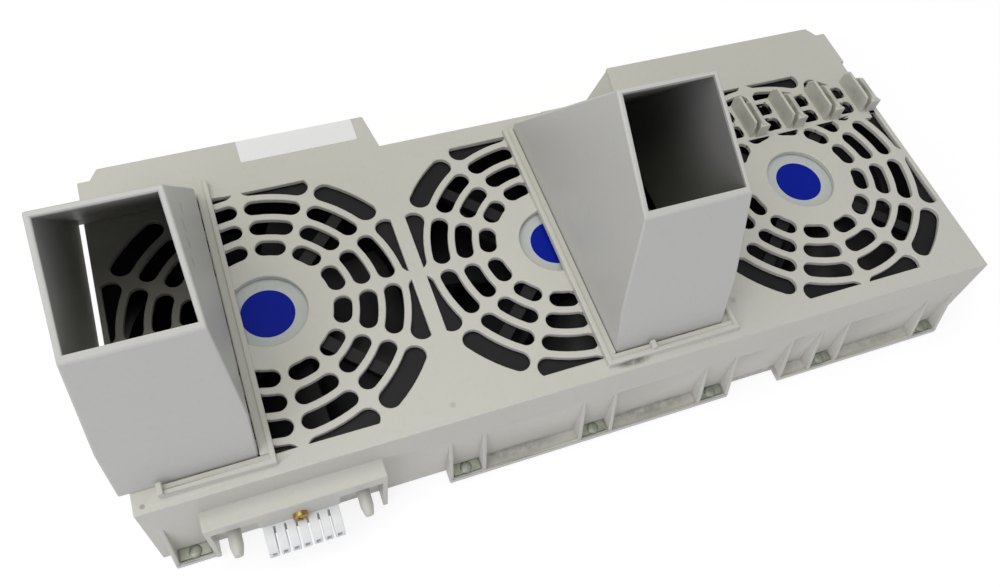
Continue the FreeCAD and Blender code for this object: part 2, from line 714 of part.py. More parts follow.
def make_scoop(label, start):
    """Air scoop: a hood open at its foot and at its slanted mouth, drawn in above and below its widest level."""
    body = new_body(label)
    front = -size("scoop_front")
    back = size("scoop_back")
    mouth_front = (-size("mouth_front"), size("mouth_front_height"))
    mouth_back = (-size("mouth_back"), size("mouth_back_height"))
    profile = new_sketch(body, label + "_profile", "YZ_Plane")
    draw_polygon(profile, [
        (front, 0.0), (back, 0.0), (back, size("scoop_back_upright")), mouth_back, mouth_front])
    pad(body, profile, "scoop_width")

    width = size("scoop_width")
    parting = size("parting_height")
    top = size("mouth_back_height")
    above = top * 1.2
    rise = (above - parting) / (top - parting)
    foot = size("foot_draft")
    sides = new_sketch(body, label + "_draft", "XZ_Plane")
    draw_polygon(sides, [(-1.0, 0.0), (foot, 0.0), (0.0, parting), (size("left_draft") * rise, above), (-1.0, above)])
    draw_polygon(sides, [
        (width + 1.0, 0.0), (width + 1.0, above), (width - size("right_draft") * rise, above),
        (width, parting), (width - foot, 0.0)])
    cut = body.newObject("PartDesign::Pocket", label + "_draft_pocket")
    cut.Profile = sides
    cut.Midplane = True
    cut.Type = "ThroughAll"
    body.Tip = cut
    doc.recompute()

    def face_name(test):
        for number, face in enumerate(cut.Shape.Faces, start=1):
            if test(face):
                return "Face%d" % number
        raise RuntimeError("face not found on " + label)

    slope = math.atan2(mouth_back[1] - mouth_front[1], mouth_back[0] - mouth_front[0])
    mouth_normal = vector(0.0, -math.sin(slope), math.cos(slope))
    mouth = face_name(lambda face: face.normalAt(0, 0).dot(mouth_normal) > 0.999)
    floor = face_name(lambda face: face.normalAt(0, 0).z < -0.999)
    shell = body.newObject("PartDesign::Thickness", label + "_wall")
    shell.Base = (cut, [mouth, floor])
    shell.Join = 1
    shell.Reversed = True
    bind(shell, Value=cells("scoop_wall"))
    body.Tip = shell
    body.setExpression(".Placement.Base.x", cells(start))
    body.setExpression(".Placement.Base.z", cells("tray_height"))


def make_base_plate():
    """Sheet steel base with an air opening under each fan, tabs for the rivets and hook tabs at the back."""
    body = new_body("base_plate")
    half_tab = size("tab_width") / 2.0
    half_back = size("back_tab_width") / 2.0
    plain = inset(shell_outline(False), size("wall_thickness") + size("base_clearance"))
    tab_front = front_foot - size("tab_reach")
    outline = []
    for start, end in zip(plain, plain[1:] + plain[:1]):
        outline.append(start)
        if start == plain[0]:
            for place in pocket_places:
                outline += [(place - half_tab, start[1]), (place - half_tab, tab_front)]
                outline += [(place + half_tab, tab_front), (place + half_tab, start[1])]
        for place, back in hook_places():
            if abs(start[1] - end[1]) < 0.01 and start[1] > 0.0 and end[0] < place - half_back and start[0] > place:
                reach = back + size("back_tab_reach")
                outline += [(place + half_back, start[1]), (place + half_back, reach)]
                outline += [(place - half_back, reach), (place - half_back, start[1])]
    sketch = new_sketch(body, "base_outline", level="flange_thickness")
    draw_polygon(sketch, outline)
    pad(body, sketch, "base_thickness")
    holes = new_sketch(body, "base_holes", level="flange_thickness")
    for side, step in fan_places:
        middle = step * size("fan_pitch")
        draw_circle(holes, "base_hole_radius", middle)
        for x, y in corner_places():
            draw_circle(holes, "fan_screw_radius + screw_clearance", middle + x, y)
    for place in pocket_places:
        draw_circle(holes, "rivet_shank_radius + press_gap", place, rivet_row())
    pocket(body, holes, "base_thickness", upwards=True)


def corner_places():
    """The four corner holes of a fan, from its axis."""
    half = size("fan_hole_spacing") / 2.0
    return [(x * half, y * half) for x in (-1, 1) for y in (-1, 1)]


def rivet_row():
    """Row of the rivets in front of the wall."""
    return front_foot - size("tab_reach") / 2.0


def solid_of_turn(points):
    """A solid of revolution about Z from its half section, given as radius and level."""
    corners = [vector(radius, 0.0, level) for radius, level in points]
    face = Part.Face(Part.makePolygon(corners + corners[:1]))
    return face.revolve(vector(0, 0, 0), vector(0, 0, 1), 360.0)


def add_group(label, shapes):
    """Equal pieces that share one node, each its own solid."""
    feature = doc.addObject("Part::Feature", label)
    feature.Label = label
    feature.Shape = Part.makeCompound(shapes)
    pieces.append(feature)
    return feature


def copies(shape, places):
    result = []
    for place in places:
        item = shape.copy()
        item.translate(vector(*place))
        result.append(item)
    return result


def dome(radius, height, level):
    """A shallow dome standing on a level."""
    ball = (radius ** 2 + height ** 2) / (2.0 * height)
    half = math.asin(radius / ball)
    rim = vector(radius, 0.0, level)
    crown = vector(0.0, 0.0, level + height)
    middle = vector(ball * math.sin(half / 2.0), 0.0, level + height - ball + ball * math.cos(half / 2.0))
    edges = [Part.Arc(rim, middle, crown).toShape()]
    edges.append(Part.makeLine(crown, vector(0.0, 0.0, level)))
    edges.append(Part.makeLine(vector(0.0, 0.0, level), rim))
    return Part.Face(Part.Wire(edges)).revolve(vector(0, 0, 0), vector(0, 0, 1), 360.0)


def make_tab_rivets():
    """Domed rivets that hold the tabs of the base plate on the foot flange."""
    head = dome(size("rivet_head_radius"), size("rivet_head_height"), base_top)
    shank = Part.makeCylinder(size("rivet_shank_radius"), size("base_thickness"), vector(0, 0, size("flange_thickness")))
    rivet = head.fuse(shank).removeSplitter()
    places = [(place, rivet_row(), 0.0) for place in pocket_places]
    add_group("tab_rivets", copies(rivet, places))


def all_corners():
    places = []
    for side, step in fan_places:
        places += [(step * size("fan_pitch") + x, y, 0.0) for x, y in corner_places()]
    return places


def make_fan_mounting():
    """Rubber pads under the corners of the fans, and the screws that pass through them."""
    hole = size("fan_screw_radius") + size("screw_clearance")
    pad_points = [(hole, base_top), (size("pad_radius"), base_top), (size("pad_radius"), fan_under), (hole, fan_under)]
    add_group("fan_pads", copies(solid_of_turn(pad_points), all_corners()))
    under = size("flange_thickness")
    head = size("fan_screw_head_radius")
    shank = size("fan_screw_radius")
    tip = fan_under + size("fan_screw_grip")
    screw = solid_of_turn([
        (0.0, under - size("fan_screw_head_height")), (head * 0.75, under - size("fan_screw_head_height")),
        (head, under - size("fan_screw_head_height") * 0.4), (head, under), (shank, under),
        (shank, tip - shank), (shank * 0.5, tip), (0.0, tip)])
    add_group("fan_screws", copies(screw, all_corners()))


def make_connector():
    """Connector with a row of slit fingers, a screw ear, its contact blades and its screw."""
    body = new_body("connector_housing")
    pitch = size("contact_pitch")
    width = pitch * size("contact_count")
    start = size("hood_middle") - width / 2.0
    front = -size("front_reach")
    root = front - size("connector_face")
    tip = root - size("finger_length")
    inside = front + size("connector_inside")
    top = size("finger_top")
    low = top - size("connector_height")
    block = new_sketch(body, "connector_block", level="finger_top - connector_height")
    draw_rectangle(block, start, start + width, root, inside)
    pad(body, block, "connector_height")
    fingers = new_sketch(body, "connector_fingers", "YZ_Plane", "hood_middle")
    nose = 0.2 * size("connector_height")
    draw_polygon(fingers, [
        (root, low), (root, top), (tip + 2.0 * nose, top), (tip, top - nose), (tip, low + nose), (tip + 2.0 * nose, low)])
    pad(body, fingers, "contact_count * contact_pitch", both_ways=True)
    ear = new_sketch(body, "screw_ear", level="finger_top")
    half_ear = size("ear_width") / 2.0
    ear_back = ear_back_face()
    ear_face = ear_back - size("ear_thickness")
    draw_rectangle(ear, size("hood_middle") - half_ear, size("hood_middle") + half_ear, ear_face, ear_back)
    pad(body, ear, "ear_height")
    slits = new_sketch(body, "finger_slits", level="finger_top")
    half_gap = size("finger_gap") / 2.0
    for step in range(1, count("contact_count")):
        place = start + step * pitch
        draw_rectangle(slits, place - half_gap, place + half_gap, tip - 1.0, root)
    pocket(body, slits, "connector_height")
    channels = new_sketch(body, "contact_channels", level="finger_top - connector_height * 0.3")
    half_channel = size("contact_width") / 2.0 + size("press_gap")
    for step in range(count("contact_count")):
        place = start + (step + 0.5) * pitch
        draw_rectangle(channels, place - half_channel, place + half_channel, tip - 1.0, root)
    pocket(body, channels, "connector_height * 0.4")
    screw_level = connector_screw_level()
    hole = body.newObject("PartDesign::SubtractiveCylinder", "ear_hole")
    along = FreeCAD.Rotation(vector(1, 0, 0), 90.0)
    hole.Placement = FreeCAD.Placement(vector(size("hood_middle"), ear_back, screw_level), along)
    bind(hole, Radius=cells("screw_shank_radius + press_gap"), Height=cells("ear_thickness"))
    body.Tip = hole

    blade_level = top - 0.7 * size("connector_height")
    blade = Part.makeBox(size("contact_width"), size("finger_length") - 2.0, size("contact_thickness"))
    blade.translate(vector(-size("contact_width") / 2.0, tip + 2.0, blade_level))
    places = [(start + (step + 0.5) * pitch, 0.0, 0.0) for step in range(count("contact_count"))]
    add_group("connector_contacts", copies(blade, places))

    head = size("screw_head_radius")
    shank = size("screw_shank_radius")
    crown = size("screw_head_height")
    screw = solid_of_turn([
        (0.0, -size("screw_shank_length")), (shank, -size("screw_shank_length")), (shank, 0.0), (head, 0.0),
        (head, crown * 0.6), (head * 0.7, crown), (0.0, crown)])
    feature = add_group("connector_screw", [screw])
    feature.Placement = FreeCAD.Placement(vector(size("hood_middle"), ear_face, screw_level), along)


def place_on_fan(feature, step):
    feature.Placement.Base = vector(step * size("fan_pitch"), 0.0, fan_under)
    return feature


def add_turned(label, points, step):
    feature = doc.addObject("Part::Feature", label)
    feature.Label = label
    feature.Shape = solid_of_turn(points)
    pieces.append(feature)
    return place_on_fan(feature, step)


def make_fan_frame(side, step):
    """Square fan frame with a round air duct, a motor disc on struts at the top, and a bearing tube."""
    body = new_body(side + "_fan_frame")
    half = size("fan_size") / 2.0
    radius = size("fan_corner_radius")
    for name, level in (("lower", "0"), ("upper", "fan_depth - fan_flange")):
        flange = new_sketch(body, "%s_%s_flange" % (side, name), level=level)
        curves = []
        for quarter in range(4):
            turn = 90.0 * quarter
            corner = half - radius
            centre = polar(corner * math.sqrt(2.0), turn + 45.0)
            arc_start = centre + polar(radius, turn)
            arc_end = centre + polar(radius, turn + 90.0)
            curves.append(arc(arc_start, centre + polar(radius, turn + 45.0), arc_end))
            next_centre = polar(corner * math.sqrt(2.0), turn + 135.0)
            curves.append(Part.LineSegment(arc_end, next_centre + polar(radius, turn + 90.0)))
        flange.addGeometry(curves, False)
        draw_circle(flange, "bore_radius")
        for x, y in corner_places():
            draw_circle(flange, "fan_hole_radius", x, y)
        pad(body, flange, "fan_flange")
    barrel = new_sketch(body, side + "_barrel")
    draw_circle(barrel, "barrel_radius")
    draw_circle(barrel, "bore_radius")
    pad(body, barrel, "fan_depth")
    disc = new_sketch(body, side + "_motor_disc", level="fan_depth")
    draw_circle(disc, "motor_base_radius")
    pad(body, disc, "motor_base_thickness", downwards=True)
    strut = new_sketch(body, side + "_strut", level="fan_depth")
    half_strut = size("strut_width") / 2.0
    reach = (size("bore_radius") + size("barrel_radius")) / 2.0
    draw_polygon(strut, [
        polar(size("motor_base_radius") * 0.9, 45.0 - 8.0)[:2], (polar(reach, 45.0) + polar(half_strut, -45.0))[:2],
        (polar(reach, 45.0) + polar(half_strut, 135.0))[:2], polar(size("motor_base_radius") * 0.9, 45.0 + 8.0)[:2]])
    arm = pad(body, strut, "strut_depth", downwards=True)
    polar_pattern(body, arm, "strut_count")
    tube = new_sketch(body, side + "_bearing_tube", level="tube_start")
    draw_circle(tube, "tube_radius")
    pad(body, tube, "fan_depth - motor_base_thickness - tube_start")
    bore = new_sketch(body, side + "_tube_bore", level="tube_start")
    draw_circle(bore, "tube_bore")
    pocket(body, bore, "fan_depth - motor_base_thickness - tube_start", upwards=True)
    place_on_fan(body, step)


def blade_section(sketch, half_sweep, height):
    """Bowed blade section across the radius: a thin slanted strip with round edges drawn as arcs."""
    low = size("blade_start")
    start = vector(-half_sweep, low)
    end = vector(half_sweep, low + height)
    along = (end - start) * (1.0 / (end - start).Length)
    across = vector(-along.y, along.x) * (size("blade_thickness") / 2.0)
    bow = vector(-along.y, along.x) * size("blade_camber")
    middle = (start + end) * 0.5 + bow
    sketch.addGeometry([
        arc(start + across, middle + across, end + across),
        Part.LineSegment(end + across, end - across),
        arc(end - across, middle - across, start - across),
        Part.LineSegment(start - across, start + across),
    ], False)


def make_impeller(side, step):
    """Rotor moulding: a hub cup closed at its lower end, with twisted blades round it."""
    body = new_body(side + "_fan_impeller")
    hub = new_sketch(body, side + "_hub", level="hub_start")
    draw_circle(hub, "hub_radius")
    pad(body, hub, "hub_length")
    root = new_sketch(body, side + "_blade_root", "YZ_Plane", "hub_radius * 0.6")
    blade_section(root, size("blade_sweep"), size("blade_height"))
    tip = new_sketch(body, side + "_blade_tip", "YZ_Plane", "bore_radius + tip_gap")
    blade_section(tip, size("blade_tip_sweep"), size("blade_tip_height"))
    blade = body.newObject("PartDesign::AdditiveLoft", side + "_blade")
    blade.Profile = root
    blade.Sections = [tip]
    blade.Ruled = True
    body.Tip = blade
    polar_pattern(body, blade, "blade_count")
    trim = new_sketch(body, side + "_tip_trim")
    draw_circle(trim, "bore_radius - tip_gap")
    draw_circle(trim, "bore_radius * 1.5")
    pocket(body, trim, "fan_depth", upwards=True)
    cup = new_sketch(body, side + "_hub_inside", level="hub_start + hub_floor")
    draw_circle(cup, "hub_radius - hub_wall")
    pocket(body, cup, "fan_depth", upwards=True)
    boss = new_sketch(body, side + "_shaft_boss", level="hub_start")
    draw_circle(boss, "boss_radius")
    pad(body, boss, "hub_floor + boss_height")
    shaft_hole = new_sketch(body, side + "_shaft_hole", level="hub_start + hub_floor * 0.5")
    draw_circle(shaft_hole, "shaft_radius + press_gap")
    pocket(body, shaft_hole, "fan_depth", upwards=True)
    place_on_fan(body, step)


def make_motor(side, step):
    """Inside of a fan's hub: steel ring, magnet ring, shaft, bearings, stator, windings and circuit board."""
    gap = size("press_gap")
    yoke_out = size("hub_radius") - size("hub_wall") - gap
    yoke_in = yoke_out - size("yoke_wall")
    low = size("yoke_start")
    high = low + size("yoke_length")
    add_turned(side + "_fan_yoke", [(yoke_in, low), (yoke_out, low), (yoke_out, high), (yoke_in, high)], step)
    magnet_out = yoke_in - gap
    magnet_in = magnet_out - size("magnet_wall")
    low += size("magnet_inset")
    high -= size("magnet_inset")
    add_turned(side + "_fan_magnet", [
        (magnet_in, low), (magnet_out, low), (magnet_out, high), (magnet_in, high)], step)

    disc_under = size("fan_depth") - size("motor_base_thickness")
    shaft = size("shaft_radius")
    shaft_low = size("hub_start") + size("hub_floor") * 0.5
    shaft_high = disc_under - size("bearing_inset")
    add_turned(side + "_fan_shaft", [
        (0.0, shaft_low), (shaft, shaft_low), (shaft, shaft_high - shaft * 0.3), (shaft * 0.7, shaft_high),
        (0.0, shaft_high)], step)

    ring_in = shaft + size("shaft_fit")
    ring_out = size("tube_bore") - size("bearing_fit")
    rings = []
    for low in (size("tube_start") + size("bearing_inset"), disc_under - size("bearing_inset") - size("bearing_length")):
        high = low + size("bearing_length")
        rings.append(solid_of_turn([(ring_in, low), (ring_out, low), (ring_out, high), (ring_in, high)]))
    place_on_fan(add_group(side + "_fan_bearings", rings), step)

    make_stator(side, step, magnet_in - size("air_gap"))
    board_high = disc_under
    board_low = board_high - size("board_thickness")
    hole = size("tube_radius") + size("coil_clearance")
    add_turned(side + "_fan_board", [
        (hole, board_low), (size("board_radius"), board_low), (size("board_radius"), board_high),
        (hole, board_high)], step)


def make_stator(side, step, stator_radius):
    """Stator stack with T-shaped poles, and a winding round the neck of each pole."""
    body = new_body(side + "_fan_stator")
    ring = new_sketch(body, side + "_stator_ring", level="stator_start")
    draw_circle(ring, "core_radius")
    draw_circle(ring, "tube_radius + press_gap")
    pad(body, ring, "stator_length")
    half_neck = size("pole_width") / 2.0
    shoe_in = stator_radius - size("pole_shoe")
    neck_start = size("core_radius") * 0.9
    half_shoe = 180.0 / count("pole_count") - math.degrees(size("pole_gap") / 2.0 / stator_radius)
    shoe_edge = math.sqrt(shoe_in ** 2 - half_neck ** 2)
    neck_angle = math.degrees(math.asin(half_neck / shoe_in))
    pole = new_sketch(body, side + "_stator_pole", level="stator_start")
    half_between = (half_shoe + neck_angle) / 2.0
    pole.addGeometry([
        Part.LineSegment(vector(neck_start, -half_neck), vector(shoe_edge, -half_neck)),
        arc(vector(shoe_edge, -half_neck), polar(shoe_in, -half_between), polar(shoe_in, -half_shoe)),
        Part.LineSegment(polar(shoe_in, -half_shoe), polar(stator_radius, -half_shoe)),
        arc(polar(stator_radius, -half_shoe), polar(stator_radius, 0.0), polar(stator_radius, half_shoe)),
        Part.LineSegment(polar(stator_radius, half_shoe), polar(shoe_in, half_shoe)),
        arc(polar(shoe_in, half_shoe), polar(shoe_in, half_between), vector(shoe_edge, half_neck)),
        Part.LineSegment(vector(shoe_edge, half_neck), vector(neck_start, half_neck)),
        Part.LineSegment(vector(neck_start, half_neck), vector(neck_start, -half_neck)),
    ], False)
    neck = pad(body, pole, "stator_length")
    polar_pattern(body, neck, "pole_count")
    place_on_fan(body, step)

    clear = size("coil_clearance")
    build = size("coil_build")
    coil_start = size("core_radius") + clear
    coil_end = shoe_in * math.cos(math.radians(neck_angle)) - 3.0 * clear - build * 0.35
    inner = [half_neck + clear, size("stator_length") / 2.0 + clear]
    middle = size("stator_start") + size("stator_length") / 2.0
    outside = Part.makeBox(
        coil_end - coil_start, 2.0 * (inner[0] + build), 2.0 * (inner[1] + build),
        vector(coil_start, -inner[0] - build, middle - inner[1] - build))
    inside = Part.makeBox(
        coil_end - coil_start, 2.0 * inner[0], 2.0 * inner[1], vector(coil_start, -inner[0], middle - inner[1]))
    ring_space = Part.makeCylinder(size("core_radius") + clear, size("fan_depth"))
    coil = outside.cut(inside).cut(ring_space)
    coils = []
    for number in range(count("pole_count")):
        turned = coil.copy()
        turned.rotate(vector(0, 0, 0), vector(0, 0, 1), 360.0 * number / count("pole_count"))
        coils.append(turned)
    place_on_fan(add_group(side + "_fan_coils", coils), step)


make_tray_shell()
make_scoop("left_scoop", "left_scoop_start")
make_scoop("middle_scoop", "middle_scoop_start")
make_base_plate()
make_tab_rivets()
make_fan_mounting()
make_connector()
for fan_side, fan_step in fan_places:
    make_fan_frame(fan_side, fan_step)
    make_impeller(fan_side, fan_step)
    make_motor(fan_side, fan_step)
doc.recompute()

for item in doc.Objects:
    if "Invalid" in item.State or "Error" in item.State:
        raise RuntimeError("%s failed to build" % item.Name)
for piece in pieces:
    if piece.Shape.isNull() or not piece.Shape.isValid():
        raise RuntimeError("%s has no valid shape" % piece.Label)

os.makedirs("parts", exist_ok=True)
for piece in pieces:
    piece.Shape.exportStep("parts/%s.step" % piece.Label)
    print(piece.Label, len(piece.Shape.Solids), round(piece.Shape.Volume, 1))
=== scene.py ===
import math

import bmesh
import bpy
from bpy.props import FloatProperty, FloatVectorProperty, IntProperty, PointerProperty
from bpy.types import Operator, Panel, PropertyGroup
from mathutils import Matrix, Vector


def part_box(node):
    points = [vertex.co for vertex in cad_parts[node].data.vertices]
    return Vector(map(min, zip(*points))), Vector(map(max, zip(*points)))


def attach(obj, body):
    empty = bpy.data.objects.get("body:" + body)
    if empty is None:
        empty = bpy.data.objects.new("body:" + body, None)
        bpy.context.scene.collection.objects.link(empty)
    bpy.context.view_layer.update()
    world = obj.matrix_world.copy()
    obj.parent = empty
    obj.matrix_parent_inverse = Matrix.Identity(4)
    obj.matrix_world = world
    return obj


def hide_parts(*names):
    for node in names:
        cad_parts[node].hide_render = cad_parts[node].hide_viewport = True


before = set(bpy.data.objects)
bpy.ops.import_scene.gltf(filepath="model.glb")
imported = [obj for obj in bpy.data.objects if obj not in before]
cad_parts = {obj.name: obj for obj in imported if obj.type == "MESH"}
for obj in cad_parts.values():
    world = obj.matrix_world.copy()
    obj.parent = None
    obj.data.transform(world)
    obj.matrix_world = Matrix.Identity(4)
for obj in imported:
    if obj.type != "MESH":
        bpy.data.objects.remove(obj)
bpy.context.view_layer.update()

bl_info = {
    "name": "Fan Tray Looks",
    "version": (1, 0, 0),
    "blender": (4, 5, 0),
    "location": "View3D > Sidebar > Fan Tray",
    "description": "Finishes, small hardware and studio for a moulded fan tray with two air scoops",
    "category": "Object",
}

MM = 0.001
TRAY = "tray"
SIDES = ("left", "middle", "right")
# Sockets of a Mix node that blends colours: its factor, its two colours and its result
FACTOR, FIRST, SECOND, BLEND = 0, 6, 7, 2
# Edges over these angles, in degrees, stay sharp on a moulding and on a turned head
MOULDED_ANGLE = 35.0
TURNED_ANGLE = 38.0

# Places and lengths from here to the stage are in millimetres, in the frame's axes
SHELL_HEIGHT = 48.0
# Levels between which a cutter goes right through the plate
CUT_LEVELS = (SHELL_HEIGHT - 4.0, SHELL_HEIGHT + 2.0)
# How far the comb and the ledges reach down into the plate, and how far the comb lies under its face
SUNK = 2.4
FLUSH = 0.02

# Clips on the right grille, and where the plain clips of the solids stand: along and across the tray
FIRST_CLIP = 113.2
CLIP_PITCH = 21.1
CLIP_PLACES = tuple(FIRST_CLIP + CLIP_PITCH * step for step in range(4))
CLIP_PLATE = 1.4
CLIP_GAP = 5.2
CLIP_AREA = (104.0, 186.0, 20.0, 52.0)
# Comb that the clips stand on, with two rows of windows
COMB_FRONT = 27.2
COMB_BAR = 2.6
COMB_PAST_FIRST = 12.0
COMB_PAST_LAST = 8.8
WINDOW_LENGTH = 7.1
WINDOW_WIDTH = 9.0
WINDOW_CORNER = 2.2
WINDOW_MARGIN = 0.7
COMB_BACK = COMB_FRONT + 3.0 * COMB_BAR + 2.0 * WINDOW_LENGTH
SOLID_COMB_FRONT = 24.2
# Slots of the right grille, as in the solids, and the directions in degrees of those that meet the comb
GRILLE_AXIS = 125.0
HUB_PLATE = 26.1
SLOT_WIDTH = 7.4
RING_BAR = 3.0
SPOKE = 3.0
SPOKE_STEP = 30.0
SLOT_ROWS = 3
SLOT_ANGLES = (15, 45, 75, 105, 135)
ARC_STEPS = 8

# Notch in the plate's right end: its bottom in the solids, its bottom as drawn, and its span across the tray
NOTCH_BOTTOM = 182.5
NOTCH_DRAWN = 184.9
NOTCH_SPAN = (54.0, 61.5)
# Ledges beside the scoops: along the tray, across it, and how high they stand on the plate
LEDGE_SPANS = ((-140.7, -137.0), (-0.9, 2.5))
LEDGE_REACH = (-59.3, 62.3)
LEDGE_HEIGHT = 1.98
# Hood's face: its ends, the apron between the posts, the levels of both and the faces in front and behind
HOOD_ENDS = (-166.8, -97.8)
APRON_ENDS = (-147.9, -116.7)
APRON_FOOT = 20.1
HOOD_LIP = 28.4
HOOD_TOP = 34.1
HOOD_CORNER = 0.4
HOOD_FACES = (-75.95, -74.0)
# Inner end walls of the back tabs: front and back corner, thickness, lean and levels
TAB_FRONT_CORNER = (59.0, 68.9)
TAB_BACK_CORNER = (62.0, 87.45)
TAB_WEB_FRONT = 85.7
TAB_WALL = 1.8
TAB_LEAN = 0.36
TAB_FOOT = 0.3
TAB_TOP = SHELL_HEIGHT - 2.5

# Middle of a scoop's duct at its foot and at its mouth: across the tray, and its level
DUCT_FOOT = (1.5, 48.0)
DUCT_MOUTH = (-21.3, 129.0)
# Faint grey spots on the left scoop's right wall: the wall along the tray, then each spot across it and its
# level
SCOOP_WALL = -144.4
SCOOP_SMUDGES = ((7.4, 115.0), (-2.0, 118.0), (-7.8, 116.2), (-16.0, 117.0))
# Sink and pin marks on the plate, drawn as painted shade of their shallow hollows: place along and across the
# tray, radius and strength
PLATE_MARK_SHADE = (
    (-183.1, -64.7, 1.2, 0.5), (-67.3, -60.5, 1.5, 0.22), (62.1, -50.2, 1.7, 0.25), (185.2, 59.8, 0.9, 0.85))
# Dirt on the foot flange: place along the tray and strength; and on the clips: place along the tray
FLANGE_DIRT = ((-118.0, 0.35), (-38.0, 0.45), (26.0, 0.55), (84.0, 0.5), (146.0, 0.35))
CLIP_DIRT = (118.0, 139.5, 160.5, 181.0)

# Paper label: its middle, half its length and width, its corners, and its two faces over the plate
LABEL_CENTRE = (-93.5, 81.2)
LABEL_HALF = (26.0, 6.0)
LABEL_CORNER = 0.8
LABEL_FACES = (0.005, 0.12)

# Connector: how much shorter its fingers are than in the solids, the lines in front of which the housing
# and the blades are drawn back, and the rounding of its edges
FINGER_DRAWN = 1.9
FINGER_LINE = -83.5
BLADE_LINE = -85.5
FINGER_EDGE = 0.22
# Half sections of the turned fasteners: radius and level
BRASS_SCREW = (
    (0.0, -9.0), (1.5, -9.0), (1.5, -1.8), (2.9, -1.8), (2.9, 1.9), (2.75, 2.2), (2.35, 2.42), (1.8, 2.5),
    (0.0, 2.5))
RIVET = (
    (0.0, 2.1), (1.2, 2.1), (1.2, 3.2), (2.6, 3.2), (2.52, 3.42), (2.25, 3.72), (1.8, 3.94), (1.2, 4.06),
    (0.6, 4.1), (0.0, 4.1))
FAN_SCREW_HEAD = 3.6
FAN_SCREW = (
    (0.0, -17.0), (1.0, -17.0), (2.0, -15.0), (2.0, -1.7), (FAN_SCREW_HEAD, -1.7), (FAN_SCREW_HEAD, -1.0),
    (3.35, -0.5), (2.8, -0.15), (2.1, 0.0), (0.0, 0.0))
# Turn of the brass screw in degrees, and from one fan screw to the next in radians
BRASS_TURN = 28.0
FAN_SCREW_TURN = 0.7
# Riveted tabs along the tray: the one beside the hood, then an even row
LONE_TAB = -174.1
ROW_TAB = -3.4
TAB_PITCH = 58.8
RIVET_PLACES = [LONE_TAB] + [ROW_TAB + TAB_PITCH * step for step in range(-1, 4)]

# Stage, in metres: the camera as solved from the photograph's grille slots and plate edges
CAMERA_PLACE = (-0.13034, -0.18563, 0.36967)
CAMERA_RIGHT = Vector((0.93451, -0.33936, 0.10736))
CAMERA_DOWN = Vector((-0.24328, -0.82916, -0.50330))
CAMERA_AHEAD = Vector((0.25982, 0.44422, -0.85742))
CAMERA_LENS = 32.583
SENSOR_WIDTH = 36.0
LIT_POINT = Vector((0.0, 0.0, 0.03))
KEY_PLACE = Vector((-0.35, 0.05, 1.28))
FILL_PLACE = Vector((0.4, -1.3, 0.7))
SIDE_PLACE = Vector((-1.2, -0.75, 0.7))
KEY_SIZE = 1.1
FRONT_SIZE = 0.9
FLOOR_HALF = 4.0
FLOOR_LEVEL = -0.0006
# Half length and half width of the paper under the tray that stays unlit
DARK_HALF = (0.172, 0.061)


def linear(code):
    """Turn an sRGB hex colour into linear red, green and blue with full alpha."""
    channels = [int(code[i:i + 2], 16) / 255.0 for i in (1, 3, 5)]
    return tuple(c / 12.92 if c <= 0.04045 else ((c + 0.055) / 1.055) ** 2.4 for c in channels) + (1.0,)


class ShellSettings(PropertyGroup):
    colour: FloatVectorProperty(
        name="Plastic", description="Beige grey of the moulded shell", subtype="COLOR", size=4,
        min=0.0, max=1.0, default=linear("#CBCAC0"))
    edge_radius: FloatProperty(
        name="Edge Radius", description="Rounding of the shell's moulded edges", unit="LENGTH",
        precision=5, default=0.4 * MM)
    scoop_colour: FloatVectorProperty(
        name="Scoop Plastic", description="Grey of the moulded scoops", subtype="COLOR", size=4,
        min=0.0, max=1.0, default=linear("#C6C6C0"))
    scoop_edge_radius: FloatProperty(
        name="Scoop Edge Radius", description="Rounding of the scoops' edges", unit="LENGTH",
        precision=5, default=0.7 * MM)


class FanSettings(PropertyGroup):
    colour: FloatVectorProperty(
        name="Fan Plastic", description="Black of the fan frames and rotors", subtype="COLOR", size=4,
        min=0.0, max=1.0, default=linear("#111213"))
    disc_colour: FloatVectorProperty(
        name="Hub Disc", description="Blue of the disc on each motor", subtype="COLOR", size=4,
        min=0.0, max=1.0, default=linear("#081E96"))
    disc_radius: FloatProperty(
        name="Disc Radius", description="Radius of the blue disc", unit="LENGTH",
        precision=5, default=10.8 * MM)
    ring_radius: FloatProperty(
        name="Ring Radius", description="Radius of the silver film round the disc", unit="LENGTH",
        precision=5, default=18.5 * MM)
    film_thickness: FloatProperty(
        name="Film Thickness", description="Thickness of each film", unit="LENGTH",
        precision=5, default=0.1 * MM)


class HardwareSettings(PropertyGroup):
    zinc_colour: FloatVectorProperty(
        name="Zinc", description="Greenish grey of zinc plated steel", subtype="COLOR", size=4,
        min=0.0, max=1.0, default=linear("#B4B9AC"))
    brass_colour: FloatVectorProperty(
        name="Brass", description="Colour of the connector screw", subtype="COLOR", size=4,
        min=0.0, max=1.0, default=linear("#B99A5E"))
    nylon_colour: FloatVectorProperty(
        name="Nylon", description="Natural white of the connector", subtype="COLOR", size=4,
        min=0.0, max=1.0, default=linear("#EEF0EF"))
    dome_segments: IntProperty(
        name="Dome Segments", description="Segments round a rivet or screw head", min=12, max=64, default=28)


class StageSettings(PropertyGroup):
    key_power: FloatProperty(
        name="Key", description="Power of the soft box over the tray", unit="POWER", default=8.6)
    fill_power: FloatProperty(
        name="Fill", description="Power of the soft box in front on the right", unit="POWER", default=1.7)
    side_power: FloatProperty(
        name="Side", description="Power of the soft box in front on the left", unit="POWER", default=6.0)
    sky: FloatProperty(name="Sky", description="Even light from all around", min=0.0, default=0.42)


class FanTraySettings(PropertyGroup):
    shell: PointerProperty(type=ShellSettings, name="Shell", description="Moulded pieces")
    fan: PointerProperty(type=FanSettings, name="Fans", description="Fans and their hub films")
    hardware: PointerProperty(type=HardwareSettings, name="Hardware", description="Metal pieces and connector")
    stage: PointerProperty(type=StageSettings, name="Stage", description="Studio")


